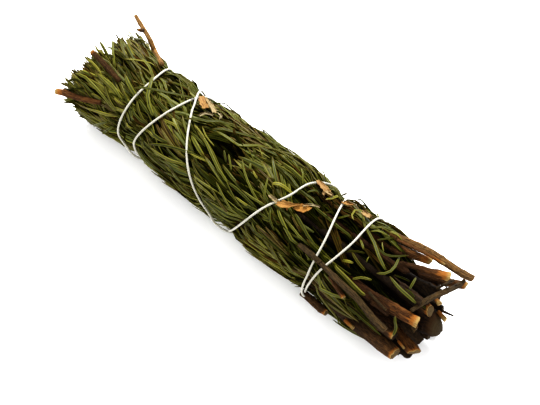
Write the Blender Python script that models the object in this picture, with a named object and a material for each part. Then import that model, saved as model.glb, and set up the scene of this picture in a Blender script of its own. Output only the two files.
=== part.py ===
"""Rosemary smudge stick: nineteen dried sprigs bound into a bundle with one white string.

Blender 4.5, metres, Z up. The bundle lies along X: leafy tips at -X, cut stem ends at +X.
A place on it is a station (millimetres along X), an angle (degrees round the bundle's axis,
0 at +Y and 90 at the top) and a distance from that axis.
"""

import math
from typing import NamedTuple

import bmesh
import bpy
import numpy as np

MM = 0.001

# Bundle, in millimetres
AXIS_HEIGHT = 15.8
RADIUS_STATIONS = (-87, -79, -69, -57, -40, -25, -5, 11, 27, 45, 60, 77)
RADIUS_VALUES = (20.3, 19.4, 17.9, 17.0, 17.2, 17.8, 18.3, 18.9, 18.6, 19.4, 19.9, 20.2)
CENTRE_SHARE = 0.22
INNER_SHARE = 0.56
WAIST_STATION = -57
HALF_GAP = 0.2
ROW_SPACING = 5.0
INNER_ROW_SPACING = 20.0

# Leaf points that stand out of the outer sprigs
POINT_RISE = 0.9
POINT_SINK = 0.5
POINT_LEAN = 2.2
TIP_CROWN = 6.0
STEM_END_CROWN = 3.0

# Stems, which thicken where they leave their leaves
STEM_TIP_RADIUS = 0.8
STEM_GAP = 0.4
LEAF_WALL = 0.25
SWELL_LENGTH = 7.0

# String
STRING_RADIUS = 0.6
STRING_GAP = 0.55
STRING_STEP = 15.0
CROSSING_LIFT = 1.7

# Leaves lie lower under the string, the side twigs and the bark flakes
DIP_DEPTH = 2.05
STRING_DIP_NEAR = 5.2
STRING_DIP_FAR = 7.4
TWIG_DIP_MARGIN = 2.2
TWIG_DIP_FADE = 2.0


class Sprig(NamedTuple):
    """One sprig: the wedge its leaves fill, and where its stem comes out and ends."""

    angle: float
    tip: float
    leaf_end: float
    stem_radius: float
    end_station: float
    end_angle: float
    end_distance: float


class Twig(NamedTuple):
    """One side twig: its radius and the places (station, angle, height above leaves) on it."""

    radius: float
    places: tuple


class Flake(NamedTuple):
    """One torn strip of bark: where it lies, how long and wide it is, and how far it rolls."""

    station: float
    angle: float
    length: float
    width: float
    slant: float


CENTRE_SPRIG = Sprig(0, -81, 69, 4.7, 81.8, 300, 1.2)

INNER_SPRIGS = (
    Sprig(30, -79, 66, 2.2, 77, 20, 9.6),
    Sprig(90, -80, 64, 2.0, 80, 98, 10.5),
    Sprig(150, -79, 68, 1.8, 79, 152, 8.6),
    Sprig(210, -81, 67, 2.4, 82, 197, 11.5),
    Sprig(270, -78, 70, 1.6, 80.6, 266, 8.2),
    Sprig(330, -80, 68, 1.4, 79.5, 352, 7.3),
)

OUTER_SPRIGS = (
    Sprig(15, -79, 62, 1.4, 82.7, 28, 21.0),
    Sprig(45, -81, 60, 1.6, 68, 37, 17.2),
    Sprig(75, -77, 61, 1.8, 78, 60, 19.2),
    Sprig(105, -80.5, 66, 1.3, 77, 103, 16.2),
    Sprig(135, -80, 61, 2.0, 80, 124, 15.0),
    Sprig(165, -84, 66, 1.5, 75, 160, 15.6),
    Sprig(195, -80, 40, 2.6, 78, 186, 17.2),
    Sprig(225, -80, 67, 2.0, 80.5, 222, 13.4),
    Sprig(255, -78, 64, 1.6, 77, 252, 14.0),
    Sprig(285, -74, 66, 1.4, 80, 290, 14.5),
    Sprig(315, -77, 65, 1.9, 76, 316, 16.0),
    Sprig(345, -80, 63, 1.5, 80.4, 5, 19.0),
)

SIDE_TWIGS = (
    Twig(1.1, ((44.8, 137.3, 0.3), (51.2, 138.7, 0.3), (58.9, 141, 0.3), (67.3, 147, 0.4),
               (72.9, 148.5, 0.6))),
    Twig(0.9, ((49.6, 145.6, 0.3), (54.5, 151, 0.5))),
    Twig(1.25, ((-64.5, 146.5, 0.3), (-69.5, 153.5, 0.3), (-76, 160, 0.5), (-83.3, 167, 1.0))),
    Twig(1.05, ((-63, 110.5, 0.3), (-71.9, 105.5, 0.4), (-78.5, 103.8, 0.8))),
    Twig(0.9, ((-58.5, 52, 0.3), (-65.5, 38, 0.6), (-72.8, 24.6, 3.2), (-77.7, 26.5, 4.2),
               (-82.7, 29, 5.6))),
    Twig(0.75, ((78.6, 98, -5.2), (80, 70, -4.6), (82, 36, -3.0))),
)

BARK_FLAKES = (
    Flake(-31.0, 64, 8.5, 3.0, 20),
    Flake(21.5, 103, 11.0, 2.9, -30),
    Flake(23.2, 60.5, 7.5, 2.2, 5),
)

# The string's route, places where it bends: station, angle all the way round, lift over another strand
STRING_ROUTE = (
    (50.5, -64, 0),
    (48.0, -48, 0),
    (46.6, -36, 0),
    (45.4, -15, 0),
    (43.6, 30, 0),
    (45.4, 79, 0),
    (45.7, 99, 0),
    (44.4, 120, 0),
    (41.9, 144, 0),
    (39.8, 171, 0),
    (37.3, 204, 0),
    (31.0, 270, 0),
    (24.5, 350, 0),
    (22.6, 390, 0),
    (18.4, 427, 0),
    (16.8, 457, 0),
    (12.1, 486, 0),
    (6.6, 524, 0),
    (0.2, 564, 0),
    (-2.5, 576, 0),
    (-7.0, 600, 0),
    (-13.0, 630, 0),
    (-31.0, 710, 0),
    (-36.0, 750, 0),
    (-37.6, 782, 0),
    (-38.6, 805, 0),
    (-41.0, 832, 0),
    (-46.4, 882, 0),
    (-46.6, 902, 0),
    (-45.2, 924, 0),
    (-47.4, 942, 0),
    (-49.4, 960, 0),
    (-52.0, 990, 0),
    (-56.5, 1070, 0),
    (-57.0, 1107, 0),
    (-54.1, 1159, 0),
    (-54.5, 1201, 0),
    (-55.2, 1248, 0),
    (-54.2, 1268, 0),
    (-50.2, 1284, 0.6),
    (-47.4, 1302, 1),
    (-45.2, 1320, 0),
    (-43.6, 1350, 0),
    (-41.5, 1430, 0),
    (-40.6, 1470, 0.3),
    (-38.6, 1494, 1),
    (-35.1, 1515, 0.3),
    (-32.8, 1529, 0),
    (-22.7, 1579, 0),
    (-11.5, 1622, 0),
    (-5.2, 1644, 0.8),
    (-2.6, 1656, 1),
    (-0.4, 1668, 0.6),
    (1.6, 1680, 0),
    (6.0, 1710, 0),
    (19.6, 1780, 0.3),
    (24.4, 1804, 1),
    (28.6, 1830, 0.3),
    (33.0, 1871, 0),
    (37.5, 1914, 0),
    (38.4, 1952, 0),
    (38.1, 1974, 0.5),
    (38.2, 1992, 1),
    (38.9, 2006, 0.5),
    (40.2, 2022, 0),
    (43.0, 2070, 0),
    (44.8, 2102, 0),
    (47.4, 2118, 1),
    (50.0, 2134, 0.6),
    (52.0, 2148, 0),
)

LEAF_COLOUR = (0.16, 0.17, 0.07)
WOOD_COLOUR = (0.26, 0.15, 0.08)
BARK_COLOUR = (0.42, 0.22, 0.10)
STRING_COLOUR = (0.86, 0.83, 0.76)


def clear_scene():
    """Remove what the open file already holds."""
    for old in list(bpy.data.objects):
        bpy.data.objects.remove(old, do_unlink=True)


def make_material(name, colour, roughness):
    """Return a plain Principled material."""
    material = bpy.data.materials.new(name)
    material.use_nodes = True
    shader = material.node_tree.nodes["Principled BSDF"]
    shader.inputs["Base Color"].default_value = (*colour, 1.0)
    shader.inputs["Roughness"].default_value = roughness
    shader.inputs["Metallic"].default_value = 0.0
    return material


def tinted(colour, index):
    """Return the colour a little lighter or darker, so that neighbours differ."""
    factor = 1.0 + 0.22 * math.sin(2.4 * index)
    return tuple(min(1.0, channel * factor) for channel in colour)


def add_object(name, data, collection, colour, roughness):
    """Put new data in the scene as a named object with a material of its own."""
    made = bpy.data.objects.new(name, data)
    made.data.materials.append(make_material(name, colour, roughness))
    collection.objects.link(made)
    return made


def bundle_radius(station):
    """Radius of the bundle's round envelope, before it flattens on the table."""
    return np.interp(station, RADIUS_STATIONS, RADIUS_VALUES)


def place(station, angle, distance):
    """Point in millimetres at this distance from the bundle's axis."""
    turn = np.radians(angle)
    return np.stack(
        np.broadcast_arrays(station, distance * np.cos(turn), AXIS_HEIGHT + distance * np.sin(turn)),
        axis=-1,
    )


def smooth_route(route, step):
    """Catmull-Rom curve through places (station, angle, lift), resampled every step degrees."""
    points = np.array(route, float)
    padded = np.vstack((2 * points[0] - points[1], points, 2 * points[-1] - points[-2]))
    fine = []
    for index in range(len(points) - 1):
        before, start, end, after = padded[index : index + 4]
        t = np.linspace(0, 1, 12, endpoint=False)[:, None]
        fine.append(
            0.5 * (2 * start + (end - before) * t
                   + (2 * before - 5 * start + 4 * end - after) * t**2
                   + (3 * start - before - 3 * end + after) * t**3)
        )
    fine = np.vstack(fine + [points[-1:]])
    angles = np.append(np.arange(points[0, 1], points[-1, 1], step), points[-1, 1])
    stations = np.interp(angles, fine[:, 1], fine[:, 0])
    lifts = np.interp(angles, fine[:, 1], fine[:, 2])
    return np.column_stack((stations, angles, np.clip(lifts, 0, 1)))


def twig_route(twig):
    """Places every 2 mm or so along a side twig."""
    places = np.array(twig.places, float)
    share = np.linspace(0, len(places) - 1, 12)
    index = np.arange(len(places))
    return np.column_stack([np.interp(share, index, places[:, column]) for column in range(3)])


def dip_tracks():
    """Everything that the leaves make room for: places, near and far reach, and depth."""
    tracks = [(smooth_route(STRING_ROUTE, 4.0)[:, :2], STRING_DIP_NEAR, STRING_DIP_FAR, DIP_DEPTH)]
    for twig in SIDE_TWIGS:
        near = twig.radius + TWIG_DIP_MARGIN
        tracks.append((twig_route(twig)[:, :2], near, near + TWIG_DIP_FADE, DIP_DEPTH))
    for flake in BARK_FLAKES:
        along = np.linspace(-0.5, 0.5, 7) * flake.length
        slant = np.degrees(along * math.sin(math.radians(flake.slant)) / bundle_radius(flake.station))
        line = np.column_stack((flake.station + along, flake.angle + slant))
        near = flake.width / 2 + TWIG_DIP_MARGIN
        tracks.append((line, near, near + TWIG_DIP_FADE, 0.9))
    return tracks


TRACKS = dip_tracks()


def dip_share(station, angle):
    """How far the leaves are pressed down at each place, and how much of their points is left."""
    station, angle = np.broadcast_arrays(np.asarray(station, float), np.asarray(angle, float))
    depth = np.zeros(station.shape)
    calm = np.zeros(station.shape)
    for line, near, far, full in TRACKS:
        along = station[..., None] - line[:, 0]
        round_the_axis = (angle[..., None] - line[:, 1] + 180) % 360 - 180
        across = np.radians(round_the_axis) * bundle_radius(station)[..., None]
        distance = np.hypot(along, across).min(axis=-1)
        share = np.clip((far - distance) / (far - near), 0, 1)
        share = share * share * (3 - 2 * share)
        depth = np.maximum(depth, full * share)
        calm = np.maximum(calm, share)
    return depth, 1 - calm


def leaf_surface(station, angle):
    """Distance from the axis to the leaves' surface, and how much of their points is left.

    The envelope is cut flat at the table, then pressed down under the string and twigs.
    """
    free = bundle_radius(station)
    down = -np.sin(np.radians(angle))
    to_table = AXIS_HEIGHT / np.maximum(down, 1e-6)
    flat = (down > 0) & (to_table < free)
    depth, points_left = dip_share(station, angle)
    return np.where(flat, to_table, free) - depth, np.where(flat, 0.0, points_left)


def corner(station, angle, distance, side):
    """Point of a wedge's edge, moved into the wedge by half the gap (side is -1, 0 or 1)."""
    turn = math.radians(angle)
    point = place(station, angle, distance)
    point[1] -= side * HALF_GAP * -math.sin(turn)
    point[2] = max(0.0, point[2] - side * HALF_GAP * math.cos(turn))
    return point


def rows_between(tip, leaf_end, spacing):
    """Stations of the regular rows of a wedge of leaves."""
    first = tip + TIP_CROWN + 2.0
    last = leaf_end - STEM_END_CROWN - 1.0
    return np.linspace(first, last, max(2, round((last - first) / spacing) + 1))


def outer_arc(row, station, centre, crown):
    """The four points of an outer wedge's outside in one row, with leaf points in turn."""
    points = []
    for column, offset in enumerate((-15, -5, 5, 15)):
        angle = centre + offset
        tip = (row + column) % 2 == 0
        distance, points_left = leaf_surface(station, angle)
        lean = 0.0
        if crown is None:
            distance += (POINT_RISE if tip else -POINT_SINK) * float(points_left)
            lean = -POINT_LEAN * float(points_left) if tip else 0.0
        side = {0: -1, 3: 1}.get(column, 0)
        point = corner(station + lean, angle, float(distance), side)
        if crown is not None:
            point[0] += crown if tip else 0.0
        points.append(point)
    return points


def inner_arc(station, centre, half_width, count, distance):
    """Points of a wedge's arc nearest the axis, in the turning sense opposite to the outside's."""
    offsets = np.linspace(half_width, -half_width, count)
    last = count - 1
    return [
        corner(station, centre + offset, distance, {0: 1, last: -1}.get(index, 0))
        for index, offset in enumerate(offsets)
    ]


def outer_ring(row, station, sprig, crown):
    """One cross-section of an outer wedge of leaves."""
    inside = INNER_SHARE * float(bundle_radius(station)) + HALF_GAP
    return outer_arc(row, station, sprig.angle, crown) + inner_arc(station, sprig.angle, 15, 2, inside)


def inner_ring(row, station, sprig, crown):
    """One cross-section of an inner wedge of leaves."""
    radius = float(bundle_radius(station))
    outside = INNER_SHARE * radius - HALF_GAP
    ring = inner_arc(station, sprig.angle, 30, 3, outside)[::-1]
    ring += inner_arc(station, sprig.angle, 30, 2, CENTRE_SHARE * radius + HALF_GAP)
    for index in range(0, len(ring), 2):
        ring[index][0] += crown or 0.0
    return ring


def centre_ring(row, station, sprig, crown):
    """One cross-section of the middle sprig's leaves."""
    distance = CENTRE_SHARE * float(bundle_radius(station)) - HALF_GAP
    ring = [place(station, angle, distance) for angle in range(0, 360, 60)]
    for index in range(0, len(ring), 2):
        ring[index][0] += crown or 0.0
    return ring


def wedge_walls(sprig, shares, station):
    """Least and greatest distance from the axis of a wedge's leaves where the string presses them."""
    radius = float(bundle_radius(station))
    inside, outside = (share * radius for share in shares)
    if shares[1] == 1:
        down = -math.sin(math.radians(sprig.angle))
        outside = min(outside, AXIS_HEIGHT / max(down, 1e-6)) if down > 0 else outside
        outside -= DIP_DEPTH
    return inside, outside


def stem_line(sprig, shares):
    """Where a stem runs inside its leaves, and its radius there, in millimetres."""
    stations = (sprig.tip + 1.0, WAIST_STATION, sprig.leaf_end)
    inside, outside = wedge_walls(sprig, shares, sprig.leaf_end)
    half = outside if shares[0] == 0 else (outside - inside) / 2
    room = 0.8 * half - STEM_GAP - LEAF_WALL
    points, radii = [], []
    for station in stations:
        inside, outside = wedge_walls(sprig, shares, station)
        distance = 0.0 if shares[0] == 0 else (inside + outside) / 2
        points.append(place(station, sprig.angle, distance))
        radii.append(np.interp(station, (stations[0], stations[-1]),
                               (STEM_TIP_RADIUS, min(sprig.stem_radius, room))))
    return points, radii


def hole_ring(centre, radius, outline):
    """Ring round the stem with one point for each point of the leaves' outline."""
    reach = radius / math.cos(math.pi / len(outline))
    offsets = [math.atan2(point[2] - centre[2], point[1] - centre[1]) for point in outline]
    start = offsets[0]
    angles = [start + math.tau * index / len(outline) for index in range(len(outline))]
    return [centre + np.array((0.0, reach * math.cos(a), reach * math.sin(a))) for a in angles]


def finish_mesh(mesh, name):
    """Turn a closed bmesh's faces outward and return it as mesh data."""
    bmesh.ops.recalc_face_normals(mesh, faces=mesh.faces)
    if mesh.calc_volume(signed=True) < 0:
        bmesh.ops.reverse_faces(mesh, faces=mesh.faces)
    data = bpy.data.meshes.new(name)
    mesh.to_mesh(data)
    mesh.free()
    return data


def build_leaves(name, sprig, shares, ring_of, spacing, collection, index):
    """Make one sprig's leaves: a loft over its wedge with a hole for its stem."""
    stations = rows_between(sprig.tip, sprig.leaf_end, spacing)
    rings = [ring_of(0, sprig.tip + TIP_CROWN, sprig, -TIP_CROWN)]
    rings += [ring_of(row + 1, station, sprig, None) for row, station in enumerate(stations)]
    rings.append(ring_of(len(stations) + 1, sprig.leaf_end - STEM_END_CROWN, sprig, STEM_END_CROWN))
    points, radii = stem_line(sprig, shares)
    holes = [
        hole_ring(point, radius + STEM_GAP, rings[0]) for point, radius in zip(points[::-1], radii[::-1])
    ]
    mesh = bmesh.new()
    loops = [[mesh.verts.new(point * MM) for point in ring] for ring in rings + holes]
    for near, far in zip(loops, loops[1:] + loops[:1]):
        for i in range(len(near)):
            j = (i + 1) % len(near)
            mesh.faces.new((near[i], near[j], far[j], far[i]))
    bmesh.ops.triangulate(mesh, faces=mesh.faces)
    data = finish_mesh(mesh, name)
    return add_object(name, data, collection, tinted(LEAF_COLOUR, index), 0.75)


def tube(name, points, radii, collection, colour, roughness):
    """Make a round bar through points in millimetres, as a curve with a bevel and closed ends."""
    data = bpy.data.curves.new(name, "CURVE")
    data.dimensions = "3D"
    data.bevel_depth = MM
    data.bevel_resolution = 2
    data.use_fill_caps = True
    spline = data.splines.new("POLY")
    spline.points.add(len(points) - 1)
    for knot, point, radius in zip(spline.points, points, radii):
        knot.co = (*(np.asarray(point) * MM), 1.0)
        knot.radius = radius
    return add_object(name, data, collection, colour, roughness)


def build_stem(name, sprig, shares, collection, index):
    """Make one stem: along its leaves, then thicker and bent to its own cut end."""
    points, radii = stem_line(sprig, shares)
    end = place(sprig.end_station, sprig.end_angle, sprig.end_distance)
    clear = points[-1] + np.array((1.5, 0.0, 0.0))
    swell = clear + (end - clear) * min(0.7, SWELL_LENGTH / np.linalg.norm(end - clear))
    points += [clear, swell, end]
    radii += [radii[-1], sprig.stem_radius, sprig.stem_radius]
    return tube(name, points, radii, collection, tinted(WOOD_COLOUR, index), 0.8)


def build_twig(name, twig, collection, index):
    """Make one side twig lying on the leaves."""
    points = []
    for station, angle, height in twig.places:
        surface, _ = leaf_surface(station, angle)
        points.append(place(station, angle, float(surface) + height + 0.3 + twig.radius))
    radii = [twig.radius] * (len(points) - 1) + [twig.radius * 0.9]
    return tube(name, points, radii, collection, tinted(WOOD_COLOUR, index), 0.8)


def build_flake(name, flake, collection, index):
    """Make one torn strip of bark, a thin rolled sheet that lies on the leaves."""
    thickness = 0.5
    rows = np.linspace(-0.5, 0.5, 5)
    columns = np.linspace(-0.5, 0.5, 4)
    radius = float(bundle_radius(flake.station))
    mesh = bmesh.new()
    rings = []
    for row in rows:
        along = row * flake.length
        station = flake.station + along
        taper = 1.0 - 0.5 * abs(2 * row) ** 3
        middle = flake.angle + math.degrees(along * math.sin(math.radians(flake.slant)) / radius)
        top, under = [], []
        for column in columns:
            angle = middle + math.degrees(column * flake.width * taper / radius)
            surface = float(bundle_radius(station)) - 0.4
            height = surface + 0.7 * (2 * column) ** 2 + 0.4 * abs(2 * row) ** 2
            top.append(place(station, angle, height + thickness))
            under.append(place(station, angle, height))
        rings.append([mesh.verts.new(point * MM) for point in top + under[::-1]])
    for near, far in zip(rings, rings[1:]):
        for i in range(len(near)):
            j = (i + 1) % len(near)
            mesh.faces.new((near[i], near[j], far[j], far[i]))
    for ring in (rings[0], rings[-1]):
        for i in range(len(columns) - 1):
            mesh.faces.new((ring[i], ring[i + 1], ring[-2 - i], ring[-1 - i]))
    data = finish_mesh(mesh, name)
    return add_object(name, data, collection, tinted(BARK_COLOUR, index), 0.7)


def build_string(collection):
    """Make the string: six turns round the bundle, crossing itself, with its ends tied at the back."""
    route = smooth_route(STRING_ROUTE, STRING_STEP)
    surface, _ = leaf_surface(route[:, 0], route[:, 1])
    distance = surface + STRING_GAP + STRING_RADIUS + CROSSING_LIFT * route[:, 2]
    points = place(route[:, 0], route[:, 1], distance)
    return tube("string", points, [STRING_RADIUS] * len(points), collection, STRING_COLOUR, 0.9)


def main():
    """Build the whole bundle."""
    clear_scene()
    collection = bpy.data.collections.new("rosemary_smudge_stick")
    bpy.context.scene.collection.children.link(collection)
    plan = [(CENTRE_SPRIG, (0, CENTRE_SHARE), centre_ring, INNER_ROW_SPACING)]
    plan += [(sprig, (CENTRE_SHARE, INNER_SHARE), inner_ring, INNER_ROW_SPACING) for sprig in INNER_SPRIGS]
    plan += [(sprig, (INNER_SHARE, 1), outer_ring, ROW_SPACING) for sprig in OUTER_SPRIGS]
    for index, (sprig, shares, ring_of, spacing) in enumerate(plan):
        number = f"{index + 1:02d}"
        build_leaves(f"leaves_{number}", sprig, shares, ring_of, spacing, collection, index)
        build_stem(f"stem_{number}", sprig, shares, collection, index)
    for index, twig in enumerate(SIDE_TWIGS):
        build_twig(f"side_twig_{index + 1}", twig, collection, index)
    for index, flake in enumerate(BARK_FLAKES):
        build_flake(f"bark_flake_{index + 1}", flake, collection, index)
    build_string(collection)


main()
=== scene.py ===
"""Looks of a dried rosemary smudge stick: leafy sprigs bound criss-cross with white cotton string.

The bundle lies along X, leafy tips at -X and cut stem ends at +X. Lengths are metres. A place
on it is a station (along X), an angle (degrees round the bundle's axis, 0 at +Y and 90 at the
top) and a distance from that axis.
"""

import logging
import math
from dataclasses import dataclass
from enum import Enum

import bpy
import numpy as np
from mathutils import Matrix

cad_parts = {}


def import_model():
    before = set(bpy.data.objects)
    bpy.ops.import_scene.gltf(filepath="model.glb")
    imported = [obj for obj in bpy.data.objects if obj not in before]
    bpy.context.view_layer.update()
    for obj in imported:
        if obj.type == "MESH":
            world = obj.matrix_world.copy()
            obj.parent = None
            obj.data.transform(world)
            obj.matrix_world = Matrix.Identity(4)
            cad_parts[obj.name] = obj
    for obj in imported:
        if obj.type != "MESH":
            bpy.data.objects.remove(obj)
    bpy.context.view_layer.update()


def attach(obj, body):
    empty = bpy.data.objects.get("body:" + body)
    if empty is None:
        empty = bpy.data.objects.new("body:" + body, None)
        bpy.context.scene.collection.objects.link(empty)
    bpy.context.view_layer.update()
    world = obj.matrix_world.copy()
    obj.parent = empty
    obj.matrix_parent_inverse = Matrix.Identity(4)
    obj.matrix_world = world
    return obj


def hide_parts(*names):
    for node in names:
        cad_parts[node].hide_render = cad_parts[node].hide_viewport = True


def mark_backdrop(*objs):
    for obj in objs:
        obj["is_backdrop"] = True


MM = 0.001
LOG = logging.getLogger("smudge_stick")

# Range of the random phases of waves, in radians
PHASES = (0.0, 6.28)

# The triangles of a mesh that has none
NO_TRIANGLES = np.zeros((0, 3), int)


class Slot(Enum):
    """The record's material slots."""
    # Material slots, which add_to_part takes and does not use.

    LEAF = "leaf"
    WOOD = "wood"
    BARK = "bark"
    STRING = "string"


class Tone(Enum):
    """A dried leaf's colour: brightness, yellowness and brownness."""

    DARK = (0.22, 0.10, 0.15)
    GREEN = (0.50, 0.25, 0.05)
    BRIGHT = (0.85, 0.50, 0.0)
    OLIVE = (0.50, 0.60, 0.30)
    YELLOW = (0.90, 0.95, 0.10)
    PALE = (1.35, 0.90, 0.0)
    BROWN = (0.45, 0.45, 0.85)


class Bark(Enum):
    """A stem's look.

    The values are redness, brightness and paleness of the bark, the length peeled at its cut
    end in millimetres, and how light the cut itself is. A dark cut is partly the cut's own colour
    and partly painted shade on ends that lie in shade.
    """

    DARK = (0.35, 0.18, 0.05, 0.0, 0.10)
    BLACK = (0.80, 0.10, 0.00, 0.0, 0.10)
    BROWN = (0.50, 0.42, 0.22, 1.0, 0.28)
    GREY = (0.05, 0.50, 0.35, 0.0, 0.30)
    TAN = (0.40, 0.75, 0.85, 0.0, 0.35)
    STRAW = (0.35, 1.35, 1.00, 0.0, 0.40)
    RED = (0.90, 0.55, 0.20, 3.4, 0.80)
    RUST = (0.90, 0.55, 0.25, 0.7, 0.32)
    ORANGE = (0.95, 0.78, 0.40, 5.0, 1.00)
    FRAYED = (0.85, 0.48, 0.25, 1.0, 0.80)
    SHAVED = (0.25, 0.55, 0.45, 5.0, 1.10)


class Layer(Enum):
    """How deep in the bundle a twiglet of leaves lies: depth in millimetres, and brightness, which is
    painted shade that darkens the deeper layers.
    """

    OUTER = (0.0, 1.0)
    MIDDLE = (1.7, 0.42)
    DEEP = (3.8, 0.32)

    @property
    def depth(self) -> float:
        """Depth under the bundle's surface in metres."""
        return self.value[0] * MM

    @property
    def brightness(self) -> float:
        """Share of the outer leaves' colour that a layer keeps: painted shade, darker deeper in the bundle.
        """
        return self.value[1]


# Arrays and meshes


def unit(vectors: np.ndarray) -> np.ndarray:
    """Scale each vector to length one.

    Args:
        vectors: Any array whose last axis is x, y, z.

    Returns:
        The same array with each vector divided by its length.
    """
    return vectors / np.maximum(np.linalg.norm(vectors, axis=-1, keepdims=True), 1e-12)


def smooth_step(values: np.ndarray) -> np.ndarray:
    """Three times the square less twice the cube, of values held between 0 and 1."""
    held = np.clip(values, 0.0, 1.0)
    return held * held * (3.0 - 2.0 * held)


def wrapped(degrees: np.ndarray) -> np.ndarray:
    """The same angles between -180 and 180 degrees."""
    return (degrees + 180.0) % 360.0 - 180.0


def run_along(points: np.ndarray) -> np.ndarray:
    """Length of the way from the first point to each."""
    return np.append(0.0, np.cumsum(np.linalg.norm(np.diff(points, axis=0), axis=1)))


def smooth_line(points: np.ndarray, count: int) -> np.ndarray:
    """Catmull-Rom curve through points, resampled evenly in its own parameter.

    Args:
        points: Points to pass through, one a row.
        count: How many points the curve gets.

    Returns:
        The curve's points, one a row.
    """
    points = np.asarray(points, float)
    padded = np.vstack((2 * points[0] - points[1], points, 2 * points[-1] - points[-2]))
    share = np.linspace(0, len(points) - 1, count)
    index = np.minimum(share.astype(int), len(points) - 2)
    t = (share - index)[:, None]
    before, start, end, after = (padded[index + step] for step in range(4))
    return 0.5 * (
        2 * start
        + (end - before) * t
        + (2 * before - 5 * start + 4 * end - after) * t**2
        + (3 * start - before - 3 * end + after) * t**3
    )


@dataclass
class MeshArrays:
    """A mesh as arrays: points, vertex numbers of its faces, and named vectors for each point."""

    vertices: np.ndarray
    quads: np.ndarray
    triangles: np.ndarray
    attributes: dict[str, np.ndarray]

    @staticmethod
    def joined(parts: list["MeshArrays"]) -> "MeshArrays":
        """One mesh of all the parts, which have the same attributes.

        Args:
            parts: The parts.

        Returns:
            The mesh.
        """
        starts = np.cumsum([0] + [len(part.vertices) for part in parts])
        titles = parts[0].attributes
        return MeshArrays(
            np.vstack([part.vertices for part in parts]),
            np.vstack([part.quads + start for part, start in zip(parts, starts)]),
            np.vstack([part.triangles + start for part, start in zip(parts, starts)]),
            {title: np.vstack([part.attributes[title] for part in parts]) for title in titles},
        )

    def build(self, name: str, material: bpy.types.Material) -> bpy.types.Object:
        """Put the arrays into a smooth mesh object at the origin.

        Args:
            name: The object's name.
            material: Its only material.

        Returns:
            The object, linked to the scene.
        """
        mesh = bpy.data.meshes.new(name)
        mesh.vertices.add(len(self.vertices))
        mesh.vertices.foreach_set("co", np.ascontiguousarray(self.vertices, np.float32).ravel())
        corners = np.concatenate((self.quads.ravel(), self.triangles.ravel())).astype(np.int32)
        sides = np.repeat((4, 3), (len(self.quads), len(self.triangles)))
        mesh.loops.add(len(corners))
        mesh.loops.foreach_set("vertex_index", corners)
        mesh.polygons.add(len(sides))
        mesh.polygons.foreach_set("loop_start", (np.cumsum(sides) - sides).astype(np.int32))
        mesh.polygons.foreach_set("use_smooth", np.ones(len(sides), bool))
        mesh.update(calc_edges=True)
        for title, values in self.attributes.items():
            layer = mesh.attributes.new(title, "FLOAT_VECTOR", "POINT")
            layer.data.foreach_set("vector", np.ascontiguousarray(values, np.float32).ravel())
        mesh.materials.append(material)
        made = bpy.data.objects.new(name, mesh)
        bpy.context.scene.collection.objects.link(made)
        return made


def ring_quads(rows: int, sides: int) -> np.ndarray:
    """Faces between neighbouring closed rings.

    Args:
        rows: How many rings there are.
        sides: How many vertices each ring has.

    Returns:
        Vertex numbers, four a row, turned outwards for rings that run anticlockwise
        about the direction they are laid in.
    """
    row = np.arange(rows - 1)[:, None] * sides
    near = row + np.arange(sides)
    next_one = row + (np.arange(sides) + 1) % sides
    return np.stack((near, next_one, next_one + sides, near + sides), axis=-1).reshape(-1, 4)


def add_to_part(piece: bpy.types.Object, slot: Slot, *nodes: str) -> bpy.types.Object:
    """Make a finished piece ride on the part.

    Args:
        piece: The piece.
        slot: Its material slot; not used.
        nodes: The CAD nodes that it replaces.

    Returns:
        The same piece.
    """
    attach(piece, "root")
    if nodes:
        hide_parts(*nodes)
    LOG.info("%s: %d faces", piece.name, len(piece.data.polygons))
    return piece


# The bundle's form


@dataclass(frozen=True)
class Bundle:
    """The round envelope that the leaves fill, flat where it lies on the table."""

    axis_height: float = 15.8 * MM
    stations: tuple = (-87, -79, -69, -57, -40, -25, -5, 11, 27, 45, 60, 77)
    radii: tuple = (20.3, 19.4, 17.9, 17.0, 17.2, 17.8, 18.3, 18.9, 18.6, 19.4, 19.9, 20.2)
    groove_depth: float = 1.9 * MM
    leaf_press: float = 1.45 * MM
    groove_near: float = 0.9 * MM
    groove_far: float = 4.6 * MM

    def radius(self, station: np.ndarray) -> np.ndarray:
        """Radius of the envelope at each station, straight between the given ones."""
        return np.interp(station, np.array(self.stations) * MM, np.array(self.radii) * MM)

    def point(self, station: np.ndarray, angle: np.ndarray, distance: np.ndarray) -> np.ndarray:
        """Points at a distance from the axis: (station, d cos angle, height + d sin angle).

        Args:
            station: Station of each point.
            angle: Its angle in degrees.
            distance: Its distance from the axis.

        Returns:
            The points, of the shape that the three have together.
        """
        turn = np.radians(angle)
        across = distance * np.cos(turn)
        height = self.axis_height + distance * np.sin(turn)
        return np.stack(np.broadcast_arrays(station, across, height), axis=-1)

    def outward(self, angle: np.ndarray) -> np.ndarray:
        """Unit vectors that point straight away from the axis at each angle."""
        turn = np.radians(angle)
        return np.stack((np.zeros_like(turn), np.cos(turn), np.sin(turn)), axis=-1)

    def angle_of(self, points: np.ndarray) -> np.ndarray:
        """Angle of each point round the axis in degrees."""
        return np.degrees(np.arctan2(points[..., 2] - self.axis_height, points[..., 1]))

    def free_surface(self, station: np.ndarray, angle: np.ndarray) -> np.ndarray:
        """Distance of the surface from the axis: the radius, or the table where that is nearer.

        Args:
            station: Station of each place.
            angle: Its angle in degrees.

        Returns:
            The distance at each place.
        """
        level = 1e-6
        down = -np.sin(np.radians(angle))
        to_table = np.where(down > level, self.axis_height / np.maximum(down, level), np.inf)
        return np.minimum(self.radius(station), to_table)


@dataclass(frozen=True)
class Track:
    """A line that presses the leaves in, full deep within near of it and not at all past far."""

    stations: np.ndarray
    angles: np.ndarray
    near: float
    far: float
    depth: float


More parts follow.
